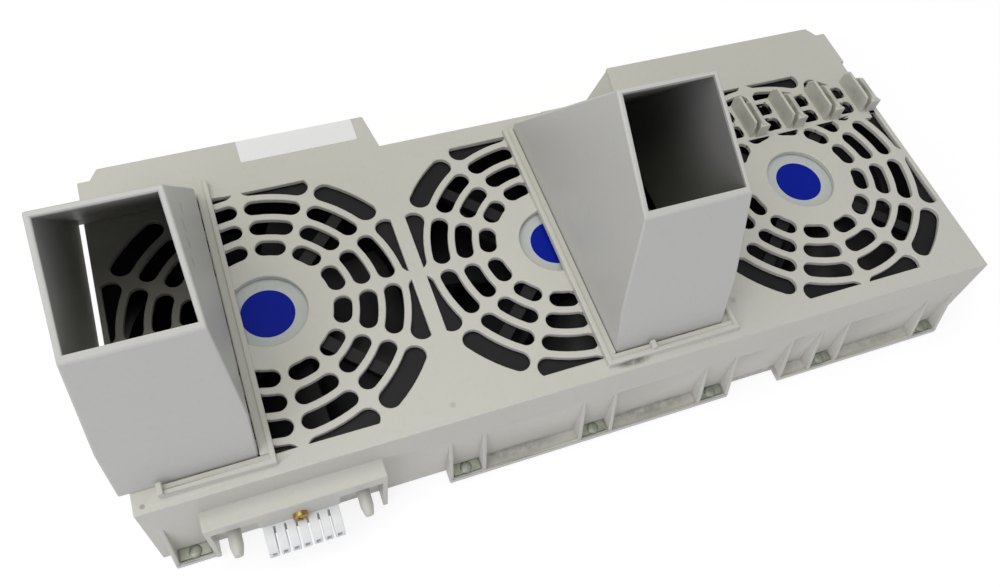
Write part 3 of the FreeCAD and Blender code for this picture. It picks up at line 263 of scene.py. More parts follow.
def settings():
    """The sizes and colours chosen for this scene."""
    return bpy.context.scene.fan_tray


def add_node(tree, kind, inputs=None, **values):
    """Add a node, set its properties, and set or link its inputs by name or number."""
    node = tree.nodes.new(kind)
    for name, value in values.items():
        setattr(node, name, value)
    for key, value in (inputs or {}).items():
        if isinstance(value, bpy.types.NodeSocket):
            tree.links.new(value, node.inputs[key])
        else:
            node.inputs[key].default_value = value
    return node


def new_material(name):
    """An empty material with its tree, a Principled shader and Object coordinates in millimetres."""
    material = bpy.data.materials.new(name)
    material.use_nodes = True
    tree = material.node_tree
    tree.nodes.clear()
    place = add_node(tree, "ShaderNodeTexCoord")
    in_mm = add_node(tree, "ShaderNodeVectorMath", {
        0: place.outputs["Object"], "Scale": 1.0 / MM}, operation="SCALE")
    shader = add_node(tree, "ShaderNodeBsdfPrincipled")
    add_node(tree, "ShaderNodeOutputMaterial", {"Surface": shader.outputs[0]})
    return material, tree, in_mm.outputs[0], shader


def darker(colour, factor):
    """A colour made darker, or lighter where the factor is over 1."""
    return tuple(c * factor for c in colour[:3]) + (1.0,)


def moulded_abs(name, colour, smudges=(), marks=(), duct_shade=0.0):
    """Injection moulded ABS with a spark-eroded texture: dull, even, a little soiled where it was handled, with
    painted shade inside a duct and in small hollows.
    """
    material, tree, place, shader = new_material(name)
    # Large cloudy differences of tint about 60 mm across, as old beige ABS shows
    cloud = add_node(tree, "ShaderNodeTexNoise", {"Vector": place, "Scale": 1 / 60.0, "Detail": 3.0})
    tint = add_node(tree, "ShaderNodeMix", {
        FACTOR: cloud.outputs[0], FIRST: darker(colour, 0.955), SECOND: darker(colour, 1.03)},
        data_type="RGBA")
    # Fine soiling in the texture, spots of about 2 mm
    soil = add_node(tree, "ShaderNodeTexNoise", {
        "Vector": place, "Scale": 1 / 2.2, "Detail": 5.0, "Roughness": 0.65})
    soil_amount = add_node(tree, "ShaderNodeMapRange", {
        "Value": soil.outputs[0], "From Min": 0.56, "From Max": 0.80, "To Min": 0.0, "To Max": 0.14})
    soiled = add_node(tree, "ShaderNodeMix", {
        FACTOR: soil_amount.outputs[0], FIRST: tint.outputs[BLEND], SECOND: linear("#8B887C")},
        data_type="RGBA")
    result = soiled.outputs[BLEND]
    # Spots and dirt: patches that fade out over their reach, broken into flecks of about 3 mm
    fleck = add_node(tree, "ShaderNodeTexNoise", {
        "Vector": place, "Scale": 1 / 3.0, "Detail": 4.0, "Roughness": 0.6})
    for centre, reach, strength, dirt in smudges:
        offset = add_node(tree, "ShaderNodeVectorMath", {0: place, 1: centre}, operation="SUBTRACT")
        spread = add_node(tree, "ShaderNodeVectorMath", {0: offset.outputs[0], 1: reach}, operation="DIVIDE")
        away = add_node(tree, "ShaderNodeVectorMath", {0: spread.outputs[0]}, operation="LENGTH")
        patch = add_node(tree, "ShaderNodeMapRange", {
            "Value": away.outputs["Value"], "From Min": 0.45, "From Max": 1.0, "To Min": strength,
            "To Max": 0.0})
        broken = add_node(tree, "ShaderNodeMapRange", {
            "Value": fleck.outputs[0], "From Min": 0.36, "From Max": 0.58, "To Min": 0.25, "To Max": 1.0})
        amount = add_node(tree, "ShaderNodeMath", {
            0: patch.outputs[0], 1: broken.outputs[0]}, operation="MULTIPLY")
        smudged = add_node(tree, "ShaderNodeMix", {
            FACTOR: amount.outputs[0], FIRST: result, SECOND: linear(dirt)}, data_type="RGBA")
        result = smudged.outputs[BLEND]
    if duct_shade:
        # Painted shade: the walls that face into a duct are darkened towards a dull dark grey, so that the duct
        # looks shaded inside
        inside = add_node(tree, "ShaderNodeAttribute", attribute_name="inside")
        # Strength of the painted shade on each inner wall
        film = add_node(tree, "ShaderNodeMath", {0: inside.outputs["Fac"], 1: duct_shade}, operation="MULTIPLY")
        duct_shaded = add_node(tree, "ShaderNodeMix", {
            FACTOR: film.outputs[0], FIRST: result, SECOND: linear("#56564E")}, data_type="RGBA")
        result = duct_shaded.outputs[BLEND]
    # Sink marks and pin marks: small dark round spots with a soft rim, painted shade of their shallow hollows
    for centre, radius, strength in marks:
        away = add_node(tree, "ShaderNodeVectorMath", {0: place, 1: centre}, operation="DISTANCE")
        inside = add_node(tree, "ShaderNodeMapRange", {
            "Value": away.outputs["Value"], "From Min": radius * 0.5, "From Max": radius, "To Min": strength,
            "To Max": 0.0})
        mark_shaded = add_node(tree, "ShaderNodeMix", {
            FACTOR: inside.outputs[0], FIRST: result, SECOND: linear("#55534C")}, data_type="RGBA")
        result = mark_shaded.outputs[BLEND]
    tree.links.new(result, shader.inputs["Base Color"])
    gloss = add_node(tree, "ShaderNodeMapRange", {
        "Value": cloud.outputs[0], "From Min": 0.3, "From Max": 0.7, "To Min": 0.40, "To Max": 0.52})
    tree.links.new(gloss.outputs[0], shader.inputs["Roughness"])
    # The real grain is near 0.1 mm; it is drawn at 0.6 mm so that it shows at this picture size
    grain = add_node(tree, "ShaderNodeTexNoise", {"Vector": place, "Scale": 1 / 0.6, "Detail": 2.0})
    bump = add_node(tree, "ShaderNodeBump", {
        "Strength": 0.10, "Distance": 0.05 * MM, "Height": grain.outputs[0]})
    tree.links.new(bump.outputs[0], shader.inputs["Normal"])
    shader.inputs["IOR"].default_value = 1.53
    return material


def filled_pbt(name, colour):
    """Glass filled black PBT: a deep dull black with faint flow marks."""
    material, tree, place, shader = new_material(name)
    flow = add_node(tree, "ShaderNodeTexNoise", {
        "Vector": place, "Scale": 1 / 9.0, "Detail": 4.0, "Distortion": 1.2})
    tint = add_node(tree, "ShaderNodeMix", {
        FACTOR: flow.outputs[0], FIRST: darker(colour, 0.75), SECOND: darker(colour, 1.35)},
        data_type="RGBA")
    tree.links.new(tint.outputs[BLEND], shader.inputs["Base Color"])
    gloss = add_node(tree, "ShaderNodeMapRange", {"Value": flow.outputs[0], "To Min": 0.42, "To Max": 0.60})
    tree.links.new(gloss.outputs[0], shader.inputs["Roughness"])
    grain = add_node(tree, "ShaderNodeTexNoise", {"Vector": place, "Scale": 1 / 0.5})
    bump = add_node(tree, "ShaderNodeBump", {
        "Strength": 0.12, "Distance": 0.04 * MM, "Height": grain.outputs[0]})
    tree.links.new(bump.outputs[0], shader.inputs["Normal"])
    shader.inputs["IOR"].default_value = 1.57
    shader.inputs["Specular IOR Level"].default_value = 0.25
    return material


def zinc_plate(name, colour, low, high):
    """Zinc plated sheet steel: a soft spangle, a greenish passivation tint and an uneven gloss."""
    material, tree, place, shader = new_material(name)
    spangle = add_node(tree, "ShaderNodeTexVoronoi", {"Vector": place, "Scale": 1 / 2.5})
    shade = add_node(tree, "ShaderNodeMapRange", {
        "Value": spangle.outputs["Distance"], "To Min": 0.0, "To Max": 1.0})
    tint = add_node(tree, "ShaderNodeMix", {
        FACTOR: shade.outputs[0], FIRST: darker(colour, 0.78), SECOND: darker(colour, 1.08)},
        data_type="RGBA")
    tree.links.new(tint.outputs[BLEND], shader.inputs["Base Color"])
    haze = add_node(tree, "ShaderNodeTexNoise", {"Vector": place, "Scale": 1 / 6.0, "Detail": 4.0})
    gloss = add_node(tree, "ShaderNodeMapRange", {"Value": haze.outputs[0], "To Min": low, "To Max": high})
    tree.links.new(gloss.outputs[0], shader.inputs["Roughness"])
    shader.inputs["Metallic"].default_value = 1.0
    return material


def turned_brass(name, colour):
    """Turned brass, a little tarnished: cloudy brown patches and an uneven gloss."""
    material, tree, place, shader = new_material(name)
    tarnish = add_node(tree, "ShaderNodeTexNoise", {"Vector": place, "Scale": 1 / 1.6, "Detail": 4.0})
    tint = add_node(tree, "ShaderNodeMix", {
        FACTOR: tarnish.outputs[0], FIRST: darker(colour, 0.6), SECOND: darker(colour, 1.15)},
        data_type="RGBA")
    tree.links.new(tint.outputs[BLEND], shader.inputs["Base Color"])
    gloss = add_node(tree, "ShaderNodeMapRange", {"Value": tarnish.outputs[0], "To Min": 0.22, "To Max": 0.45})
    tree.links.new(gloss.outputs[0], shader.inputs["Roughness"])
    shader.inputs["Metallic"].default_value = 1.0
    return material


def natural_nylon(name, colour):
    """Natural nylon: milky white, slightly see-through at its thin edges, with soft gloss."""
    material, tree, place, shader = new_material(name)
    cloud = add_node(tree, "ShaderNodeTexNoise", {"Vector": place, "Scale": 1 / 4.0, "Detail": 3.0})
    tint = add_node(tree, "ShaderNodeMix", {
        FACTOR: cloud.outputs[0], FIRST: darker(colour, 0.93), SECOND: colour}, data_type="RGBA")
    tree.links.new(tint.outputs[BLEND], shader.inputs["Base Color"])
    gloss = add_node(tree, "ShaderNodeMapRange", {"Value": cloud.outputs[0], "To Min": 0.26, "To Max": 0.4})
    tree.links.new(gloss.outputs[0], shader.inputs["Roughness"])
    shader.inputs["Subsurface Weight"].default_value = 0.25
    shader.inputs["Subsurface Radius"].default_value = (0.0015, 0.0015, 0.0015)
    shader.inputs["IOR"].default_value = 1.53
    return material


def printed_film(name, colour, wear, sheen):
    """Printed polyester film: even ink under a satin face, with faint handling scuffs."""
    material, tree, place, shader = new_material(name)
    scuff = add_node(tree, "ShaderNodeTexNoise", {
        "Vector": place, "Scale": 1 / 3.0, "Detail": 5.0, "Distortion": 0.8})
    amount = add_node(tree, "ShaderNodeMapRange", {
        "Value": scuff.outputs[0], "From Min": 0.5, "From Max": 0.8, "To Min": 0.0, "To Max": wear})
    tint = add_node(tree, "ShaderNodeMix", {
        FACTOR: amount.outputs[0], FIRST: colour, SECOND: darker(colour, 0.7)}, data_type="RGBA")
    tree.links.new(tint.outputs[BLEND], shader.inputs["Base Color"])
    gloss = add_node(tree, "ShaderNodeMapRange", {"Value": scuff.outputs[0], "To Min": 0.30, "To Max": 0.46})
    tree.links.new(gloss.outputs[0], shader.inputs["Roughness"])
    shader.inputs["Specular IOR Level"].default_value = sheen
    return material


def label_paper(name, colour):
    """Coated label paper: clean white with a faint fibre mottle and a soft sheen."""
    material, tree, place, shader = new_material(name)
    fibre = add_node(tree, "ShaderNodeTexNoise", {"Vector": place, "Scale": 1 / 0.9, "Detail": 4.0})
    tint = add_node(tree, "ShaderNodeMix", {
        FACTOR: fibre.outputs[0], FIRST: darker(colour, 0.95), SECOND: colour}, data_type="RGBA")
    tree.links.new(tint.outputs[BLEND], shader.inputs["Base Color"])
    bump = add_node(tree, "ShaderNodeBump", {
        "Strength": 0.08, "Distance": 0.03 * MM, "Height": fibre.outputs[0]})
    tree.links.new(bump.outputs[0], shader.inputs["Normal"])
    shader.inputs["Roughness"].default_value = 0.5
    return material


def plain_metal(name, colour, low, high, grain_mm):
    """Ground or stacked steel and enamelled copper: a fine cloudy grain and an uneven gloss."""
    material, tree, place, shader = new_material(name)
    grain = add_node(tree, "ShaderNodeTexNoise", {"Vector": place, "Scale": 1 / grain_mm, "Detail": 5.0})
    tint = add_node(tree, "ShaderNodeMix", {
        FACTOR: grain.outputs[0], FIRST: darker(colour, 0.8), SECOND: darker(colour, 1.1)},
        data_type="RGBA")
    tree.links.new(tint.outputs[BLEND], shader.inputs["Base Color"])
    gloss = add_node(tree, "ShaderNodeMapRange", {"Value": grain.outputs[0], "To Min": low, "To Max": high})
    tree.links.new(gloss.outputs[0], shader.inputs["Roughness"])
    shader.inputs["Metallic"].default_value = 1.0
    return material


def dull_solid(name, colour, roughness, grain_mm):
    """Rubber, sintered ferrite and solder mask: a dull face with a fine irregular grain."""
    material, tree, place, shader = new_material(name)
    grain = add_node(tree, "ShaderNodeTexNoise", {"Vector": place, "Scale": 1 / grain_mm, "Detail": 3.0})
    tint = add_node(tree, "ShaderNodeMix", {
        FACTOR: grain.outputs[0], FIRST: darker(colour, 0.75), SECOND: darker(colour, 1.2)},
        data_type="RGBA")
    tree.links.new(tint.outputs[BLEND], shader.inputs["Base Color"])
    bump = add_node(tree, "ShaderNodeBump", {
        "Strength": 0.15, "Distance": 0.05 * MM, "Height": grain.outputs[0]})
    tree.links.new(bump.outputs[0], shader.inputs["Normal"])
    shader.inputs["Roughness"].default_value = roughness
    return material


def dress(node, material):
    """Give a node of the frame a material in every slot."""
    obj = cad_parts[node]
    obj.data.materials.clear()
    obj.data.materials.append(material)


def new_piece(name, mesh, material, body):
    """Put a finished mesh in the scene as a piece that rides on a body."""
    obj = shape_object(name, mesh)
    mesh.materials.clear()
    mesh.materials.append(material)
    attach(obj, body)
    return obj


def mark_sharp(bm, degrees):
    """Shade every face smooth and keep the edges over an angle sharp."""
    limit = math.radians(degrees)
    for face in bm.faces:
        face.smooth = True
    for edge in bm.edges:
        edge.smooth = len(edge.link_faces) == 2 and edge.calc_face_angle(0.0) < limit


def shape_object(name, mesh):
    """A mesh put in the scene as an object."""
    obj = bpy.data.objects.new(name, mesh)
    bpy.context.scene.collection.objects.link(obj)
    return obj


def evaluated_mesh(obj, name):
    """The mesh of an object with its modifiers applied; the object goes."""
    evaluated = obj.evaluated_get(bpy.context.evaluated_depsgraph_get())
    result = bpy.data.meshes.new_from_object(evaluated)
    result.name = name
    bpy.data.objects.remove(obj)
    return result


def merged_copy(node):
    """A copy of a node's mesh with its loose triangles merged."""
    bm = bmesh.new()
    bm.from_mesh(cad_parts[node].data)
    near = 0.002 * MM
    bmesh.ops.remove_doubles(bm, verts=bm.verts, dist=near)
    bmesh.ops.dissolve_degenerate(bm, edges=bm.edges, dist=near)
    return bm


def to_mesh(bm, name):
    """The mesh of an edit mesh, which goes."""
    mesh = bpy.data.meshes.new(name)
    bm.to_mesh(mesh)
    bm.free()
    return mesh


def joined(name, meshes):
    """One mesh made of several, which go."""
    bm = bmesh.new()
    for mesh in meshes:
        bm.from_mesh(mesh)
        bpy.data.meshes.remove(mesh)
    return to_mesh(bm, name)


def combine(base, tool, operation):
    """Join two closed meshes, or cut the second from the first."""
    name = base.name
    helper = shape_object("base", base)
    second = shape_object("tool", tool)
    change = helper.modifiers.new("combine", "BOOLEAN")
    change.object = second
    change.operation = operation
    result = evaluated_mesh(helper, name)
    bpy.data.objects.remove(second)
    return result


def prism(name, outlines):
    """A closed mesh between two outlines of as many points, given in millimetres."""
    bm = bmesh.new()
    rings = [[bm.verts.new(Vector(point) * MM) for point in outline] for outline in outlines]
    for ring in rings:
        bm.faces.new(ring)
    number = len(rings[0])
    for at in range(number):
        after = (at + 1) % number
        bm.faces.new([rings[0][at], rings[0][after], rings[1][after], rings[1][at]])
    bmesh.ops.recalc_face_normals(bm, faces=bm.faces)
    return to_mesh(bm, name)


def upright(name, plan, low, high):
    """A prism that stands on an outline seen from above."""
    return prism(name, [[(x, y, z) for x, y in plan] for z in (low, high)])


def sideways(name, profile, start, end):
    """A prism along X from an outline seen from the end of the tray."""
    return prism(name, [[(x, y, z) for y, z in profile] for x in (start, end)])


def across(name, profile, front, back):
    """A prism along Y from an outline seen from the front."""
    return prism(name, [[(x, y, z) for x, z in profile] for y in (front, back)])


def rectangle(x_low, x_high, y_low, y_high):
    """The corners of a rectangle in order."""
    return [(x_low, y_low), (x_high, y_low), (x_high, y_high), (x_low, y_high)]


def rounded_rectangle(x_low, x_high, y_low, y_high, radius, steps=6):
    """A rectangle with round corners, as points in order."""
    points = []
    corners = ((x_high, y_high, 1, 1), (x_low, y_high, -1, 1), (x_low, y_low, -1, -1), (x_high, y_low, 1, -1))
    for quarter, (x, y, right, up) in enumerate(corners):
        for step in range(steps + 1):
            angle = math.radians(90.0 * (quarter + step / steps))
            along = x - right * radius + radius * math.cos(angle)
            points.append((along, y - up * radius + radius * math.sin(angle)))
    return points


def rounded(mesh, name, radius, segments):
    """A mesh with its sharp outer edges rounded."""
    bm = bmesh.new()
    bm.from_mesh(mesh)
    limit = math.radians(MOULDED_ANGLE)
    weight = bm.edges.layers.float.new("bevel_weight_edge")
    for edge in bm.edges:
        if len(edge.link_faces) == 2 and edge.calc_face_angle(0.0) > limit and edge.is_convex:
            edge[weight] = 1.0
    mark_sharp(bm, MOULDED_ANGLE)
    helper = shape_object(name, to_mesh(bm, name))
    bevel = helper.modifiers.new("edge_rounding", "BEVEL")
    bevel.limit_method = "WEIGHT"
    bevel.width = radius
    bevel.segments = segments
    bevel.use_clamp_overlap = False
    bevel.loop_slide = False
    bevel.harden_normals = False
    return evaluated_mesh(helper, name)


def mark_inside(mesh):
    """Store on each face of a scoop whether it is a wall that looks towards the middle line of the duct; the
    painted shade inside the duct follows this flag.
    """
    sides = [vert.co.x for vert in mesh.vertices]
    middle = (min(sides) + max(sides)) / 2.0 / MM
    slope = (DUCT_MOUTH[0] - DUCT_FOOT[0]) / (DUCT_MOUTH[1] - DUCT_FOOT[1])
    upright_wall = 0.7
    layer = mesh.attributes.new("inside", "FLOAT", "FACE")
    for face in mesh.polygons:
        x, y, z = face.center / MM
        beside = abs(face.normal.x) > upright_wall and (middle - x) * face.normal.x > 0.0
        ahead = DUCT_FOOT[0] + slope * (z - DUCT_FOOT[1]) - y
        along = abs(face.normal.y) > upright_wall and ahead * face.normal.y > 0.0
        layer.data[face.index].value = float(beside or along)


def rounded_copy(node, name, radius, segments):
    """A copy of a node's mesh with its sharp outer edges rounded."""
    return rounded(to_mesh(merged_copy(node), name), name, radius, segments)


def new_tree(name, sockets):
    """An empty geometry node tree with geometry in and out and the given inputs."""
    tree = bpy.data.node_groups.new(name, "GeometryNodeTree")
    tree.interface.new_socket("Geometry", in_out="INPUT", socket_type="NodeSocketGeometry")
    for label, kind in sockets:
        tree.interface.new_socket(label, in_out="INPUT", socket_type="NodeSocket" + kind)
    tree.interface.new_socket("Geometry", in_out="OUTPUT", socket_type="NodeSocketGeometry")
    return tree


def end_tree(tree, start, placed):
    """End a tree: its instances made real, in the chosen finish."""
    real = add_node(tree, "GeometryNodeRealizeInstances", {"Geometry": placed.outputs[0]})
    finish = add_node(tree, "GeometryNodeSetMaterial", {
        "Geometry": real.outputs[0], "Material": start.outputs["Finish"]})
    add_node(tree, "NodeGroupOutput", {0: finish.outputs[0]})
    return tree


def copies_tree():
    """Geometry nodes that set one shape on every point of a mesh, turned and sized alike."""
    tree = new_tree("copies_on_points", (
        ("Shape", "Object"), ("Size", "Float"), ("Turn", "Float"), ("Finish", "Material")))
    start = add_node(tree, "NodeGroupInput")
    shape = add_node(tree, "GeometryNodeObjectInfo", {"Object": start.outputs["Shape"]})
    number = add_node(tree, "GeometryNodeInputIndex")
    turn = add_node(tree, "ShaderNodeMath", {
        0: number.outputs[0], 1: start.outputs["Turn"]}, operation="MULTIPLY")
    angle = add_node(tree, "ShaderNodeCombineXYZ", {"Z": turn.outputs[0]})
    placed = add_node(tree, "GeometryNodeInstanceOnPoints", {
        "Points": start.outputs["Geometry"], "Instance": shape.outputs["Geometry"],
        "Rotation": angle.outputs[0], "Scale": start.outputs["Size"]})
    return end_tree(tree, start, placed)


def films_tree():
    """Geometry nodes for a row of round films: thin discs along the tray at one level."""
    tree = new_tree("row_of_films", (
        ("Radius", "Float"), ("Thickness", "Float"), ("Pitch", "Float"), ("Count", "Int"), ("Level", "Float"),
        ("Finish", "Material")))
    start = add_node(tree, "NodeGroupInput")
    film = add_node(tree, "GeometryNodeMeshCylinder", {
        "Vertices": 72, "Side Segments": 1, "Fill Segments": 6, "Radius": start.outputs["Radius"],
        "Depth": start.outputs["Thickness"]})
    gaps = add_node(tree, "ShaderNodeMath", {0: start.outputs["Count"], 1: 1.0}, operation="SUBTRACT")
    half = add_node(tree, "ShaderNodeMath", {0: gaps.outputs[0], 1: -0.5}, operation="MULTIPLY")
    first = add_node(tree, "ShaderNodeMath", {
        0: half.outputs[0], 1: start.outputs["Pitch"]}, operation="MULTIPLY")
    origin = add_node(tree, "ShaderNodeCombineXYZ", {"X": first.outputs[0], "Z": start.outputs["Level"]})
    step = add_node(tree, "ShaderNodeCombineXYZ", {"X": start.outputs["Pitch"]})
    row = add_node(tree, "GeometryNodeMeshLine", {
        "Count": start.outputs["Count"], "Start Location": origin.outputs[0], "Offset": step.outputs[0]})
    placed = add_node(tree, "GeometryNodeInstanceOnPoints", {
        "Points": row.outputs[0], "Instance": film.outputs[0]})
    return end_tree(tree, start, placed)


def grow(tree, points, name, **inputs):
    """Run a geometry node tree on loose points and return its result as a plain mesh."""
    mesh = bpy.data.meshes.new(name + "_points")
    mesh.from_pydata(points, [], [])
    helper = shape_object(name + "_helper", mesh)
    modifier = helper.modifiers.new(name, "NODES")
    modifier.node_group = tree
    for item in tree.interface.items_tree:
        if item.in_out == "INPUT" and item.name in inputs:
            modifier[item.identifier] = inputs[item.name]
    result = evaluated_mesh(helper, name)
    if not result.polygons:
        raise RuntimeError("no geometry for " + name)
    return result


def lathe(profile, segments):
    """A closed turned shape about Z from its half section, given as radius and level in millimetres."""
    bm = bmesh.new()
    rings = []
    for radius, level in profile:
        if radius < 1e-6:
            rings.append([bm.verts.new((0.0, 0.0, level * MM))])
            continue
        ring = []
        for number in range(segments):
            angle = 2.0 * math.pi * number / segments
            place = (radius * MM * math.cos(angle), radius * MM * math.sin(angle), level * MM)
            ring.append(bm.verts.new(place))
        rings.append(ring)
    for low, high in zip(rings, rings[1:]):
        for number in range(segments):
            after = (number + 1) % segments
            corners = [low[number % len(low)], low[after % len(low)]]
            corners += [high[after % len(high)], high[number % len(high)]]
            corners = list(dict.fromkeys(corners))
            if len(corners) > 2:
                bm.faces.new(corners)
    bmesh.ops.recalc_face_normals(bm, faces=bm.faces)
    mark_sharp(bm, TURNED_ANGLE)
    return bm


def cross_recess(bm, level, reach, width, depth):
    """Press a cross for a driver into the top of a turned head."""
    half = width / 2.0
    foot_share = 0.45
    above = 0.2
    plan = [(reach, -half), (reach, half), (half, half), (half, reach), (-half, reach), (-half, half),
            (-reach, half), (-reach, -half), (-half, -half), (-half, -reach), (half, -reach), (half, -half)]
    rings = ((foot_share, level - depth), (1.0, level + above))
    outlines = [[(x * share, y * share, z) for x, y in plan] for share, z in rings]
    return combine(to_mesh(bm, "head"), prism("cutter", outlines), "DIFFERENCE")


def fan_pitch():
    """Distance from one fan to the next along the tray."""
    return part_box("middle_fan_frame")[0][0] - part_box("left_fan_frame")[0][0]


def shell_dirt():
    """Where the shell is soiled: in front of the middle scoop, on the foot flange and on the clips."""
    grey = "#6E6B62"
    brown = "#6B6350"
    # Each patch has a place, a reach along the three axes, a strength and a colour
    dirt = [((8.5, -64.0, SHELL_HEIGHT), (9.0, 2.6, 3.0), 0.75, grey)]
    for x, strength in FLANGE_DIRT:
        dirt.append(((x, -70.0, 3.0), (26.0, 5.0, 3.2), strength, grey))
    for x in CLIP_DIRT:
        dirt.append(((x, 36.0, SHELL_HEIGHT + 4.0), (7.5, 9.0, 6.5), 0.5, brown))
    return dirt


def clear_clip_row(bm):
    """Take the plain clips off the copy of the shell and close the plate where they stood."""
    top = SHELL_HEIGHT * MM
    touch = 0.001 * MM
    gone = []
    for face in bm.faces:
        middle = face.calc_center_median() / MM
        if CLIP_AREA[0] < middle.x < CLIP_AREA[1] and CLIP_AREA[2] < middle.y < CLIP_AREA[3]:
            if middle.z > SHELL_HEIGHT and all(vert.co.z > top - touch for vert in face.verts):
                gone.append(face)
    bmesh.ops.delete(bm, geom=gone, context="FACES")
    rim = [edge for edge in bm.edges if edge.is_boundary]
    bmesh.ops.edgeloop_fill(bm, edges=rim)


def narrow_notch(bm):
    """Draw the bottom of the notch in the plate's right end out to its real depth."""
    near = 0.05
    for vert in bm.verts:
        within = NOTCH_SPAN[0] < vert.co.y / MM < NOTCH_SPAN[1]
        if within and abs(vert.co.x / MM - NOTCH_BOTTOM) < near:
            vert.co.x = NOTCH_DRAWN * MM


def clip_windows():
    """The two rows of windows left of the clip plates, as one mesh of closed prisms."""
    windows = []
    for place in CLIP_PLACES:
        right = place - CLIP_PLATE - WINDOW_MARGIN
        for row in range(2):
            start = COMB_FRONT + COMB_BAR + row * (WINDOW_LENGTH + COMB_BAR)
            plan = rounded_rectangle(right - WINDOW_WIDTH, right, start, start + WINDOW_LENGTH, WINDOW_CORNER)
            windows.append(upright("window", plan, *CUT_LEVELS))
    return joined("windows", windows)


def clipped(points, value, sign):
    """The part of an outline on one side of a line across the tray."""
    result = []
    for start, end in zip(points, points[1:] + points[:1]):
        inside = sign * (start[1] - value) >= 0.0
        if inside:
            result.append(start)
        if inside != (sign * (end[1] - value) >= 0.0):
            share = (value - start[1]) / (end[1] - start[1])
            result.append((start[0] + share * (end[0] - start[0]), value))
    return result


def slot_outline(row, degrees):
    """A slot of the right grille, a bent strip with round ends, as points in order."""
    middle = HUB_PLATE + SLOT_WIDTH / 2.0 + row * (SLOT_WIDTH + RING_BAR)
    half = SLOT_WIDTH / 2.0
    reach = SPOKE_STEP / 2.0 - math.degrees((half + SPOKE / 2.0) / middle)
    points = []
    for start, end, radius in ((-reach, reach, middle + half), (reach, -reach, middle - half)):
        for step in range(ARC_STEPS + 1):
            angle = math.radians(degrees + start + (end - start) * step / ARC_STEPS)
            points.append((GRILLE_AXIS + radius * math.cos(angle), radius * math.sin(angle)))
        turn = degrees + end
        angle = math.radians(turn)
        centre = (GRILLE_AXIS + middle * math.cos(angle), middle * math.sin(angle))
        first = turn if end > start else turn + 180.0
        for step in range(1, ARC_STEPS):
            angle = math.radians(first + 180.0 * step / ARC_STEPS)
            points.append((centre[0] + half * math.cos(angle), centre[1] + half * math.sin(angle)))
    return points


def front_slots():
    """What shows of the grille's slots between the front of the comb in the solids and its real front."""
    slots = []
    for row in range(SLOT_ROWS):
        for degrees in SLOT_ANGLES:
            plan = clipped(slot_outline(row, degrees), COMB_FRONT, -1.0)
            plan = clipped(plan, SOLID_COMB_FRONT, 1.0)
            if len(plan) > 2:
                slots.append(upright("slot", plan, *CUT_LEVELS))
    return joined("slots", slots)


def seat_ledges():
    """Ledges that close the gap between the scoops' sides and the rails beside them."""
    ledges = []
    for start, end in LEDGE_SPANS:
        plan = rectangle(start, end, *LEDGE_REACH)
        ledges.append(upright("ledge", plan, SHELL_HEIGHT - SUNK, SHELL_HEIGHT + LEDGE_HEIGHT))
    return joined("seat_ledges", ledges)


def draw_back(mesh, limit):
    """Move what lies in front of a line back, so that the fingers have their real length."""
    for vert in mesh.vertices:
        if vert.co.y < limit * MM:
            vert.co.y += FINGER_DRAWN * MM


def hood_face():
    """Front of the hood, with an apron that reaches down to the connector between the posts."""
    left, right = HOOD_ENDS
    apron_left, apron_right = APRON_ENDS
    corner = HOOD_LIP - HOOD_CORNER
    outline = [
        (left, HOOD_LIP), (apron_left - HOOD_CORNER, HOOD_LIP), (apron_left, corner), (apron_left, APRON_FOOT),
        (apron_right, APRON_FOOT), (apron_right, corner), (apron_right + HOOD_CORNER, HOOD_LIP),
        (right, HOOD_LIP), (right, HOOD_TOP), (left, HOOD_TOP)]
    return across("hood_face", outline, *HOOD_FACES)


def clip_shape():
    """One clip at the first place: a thin plate with cut corners and a wall that flares at its front."""
    place = CLIP_PLACES[0]
    half_plate = CLIP_PLATE / 2.0
    beside = place + CLIP_GAP
    half_wall = 1.0
    half_flare = 2.9
    low = SHELL_HEIGHT - 1.0
    plate_top = SHELL_HEIGHT + 9.5
    wall_top = SHELL_HEIGHT + 8.0
    flare_top = SHELL_HEIGHT + 7.4
    front = COMB_FRONT + 1.6
    flare_front = COMB_FRONT + 0.8
    flare_back = COMB_FRONT + 4.3
    back = COMB_BACK
    wall_back = COMB_BACK - 3.5
    corner = 2.8
    plate = [
        (front, low), (back, low), (back, plate_top - 3.8), (back - corner, plate_top),
        (front + 1.1, plate_top), (front, plate_top - 3.2)]
    wall = [
        (front, low), (wall_back, low), (wall_back, wall_top - corner), (wall_back - corner, wall_top),
        (front, wall_top)]
    flare = [
        (beside - half_flare, flare_front), (beside + half_flare, flare_front),
        (beside + half_wall, flare_back), (beside - half_wall, flare_back)]
    straight = sideways("wall", wall, beside - half_wall, beside + half_wall)
    pair = combine(straight, upright("flare", flare, low, flare_top), "UNION")
    thin = sideways("plate", plate, place - half_plate, place + half_plate)
    return joined("clip", [pair, thin])


def leaning_ends():
    """Walls under the inner ends of the two back tabs, which lean out towards their foot."""
    lean = TAB_LEAN * (TAB_TOP - TAB_FOOT)
    inner, back = TAB_BACK_CORNER
    outer = inner + TAB_WALL
    ends = []
    for side in (-1.0, 1.0):
        rings = []
        for x, y in (TAB_FRONT_CORNER, TAB_BACK_CORNER):
            section = (
                (x, TAB_TOP), (x + TAB_WALL, TAB_TOP), (x + TAB_WALL - lean, TAB_FOOT), (x - lean, TAB_FOOT))
            rings.append([(side * along, y, level) for along, level in section])
        section = ((outer, TAB_TOP), (outer, TAB_FOOT), (inner - lean, TAB_FOOT), (inner, TAB_TOP))
        web = [[(side * along, y, level) for along, level in section] for y in (TAB_WEB_FRONT, back)]
        ends.append(combine(prism("wall", rings), prism("web", web), "UNION"))
    return joined("leaning_ends", ends)


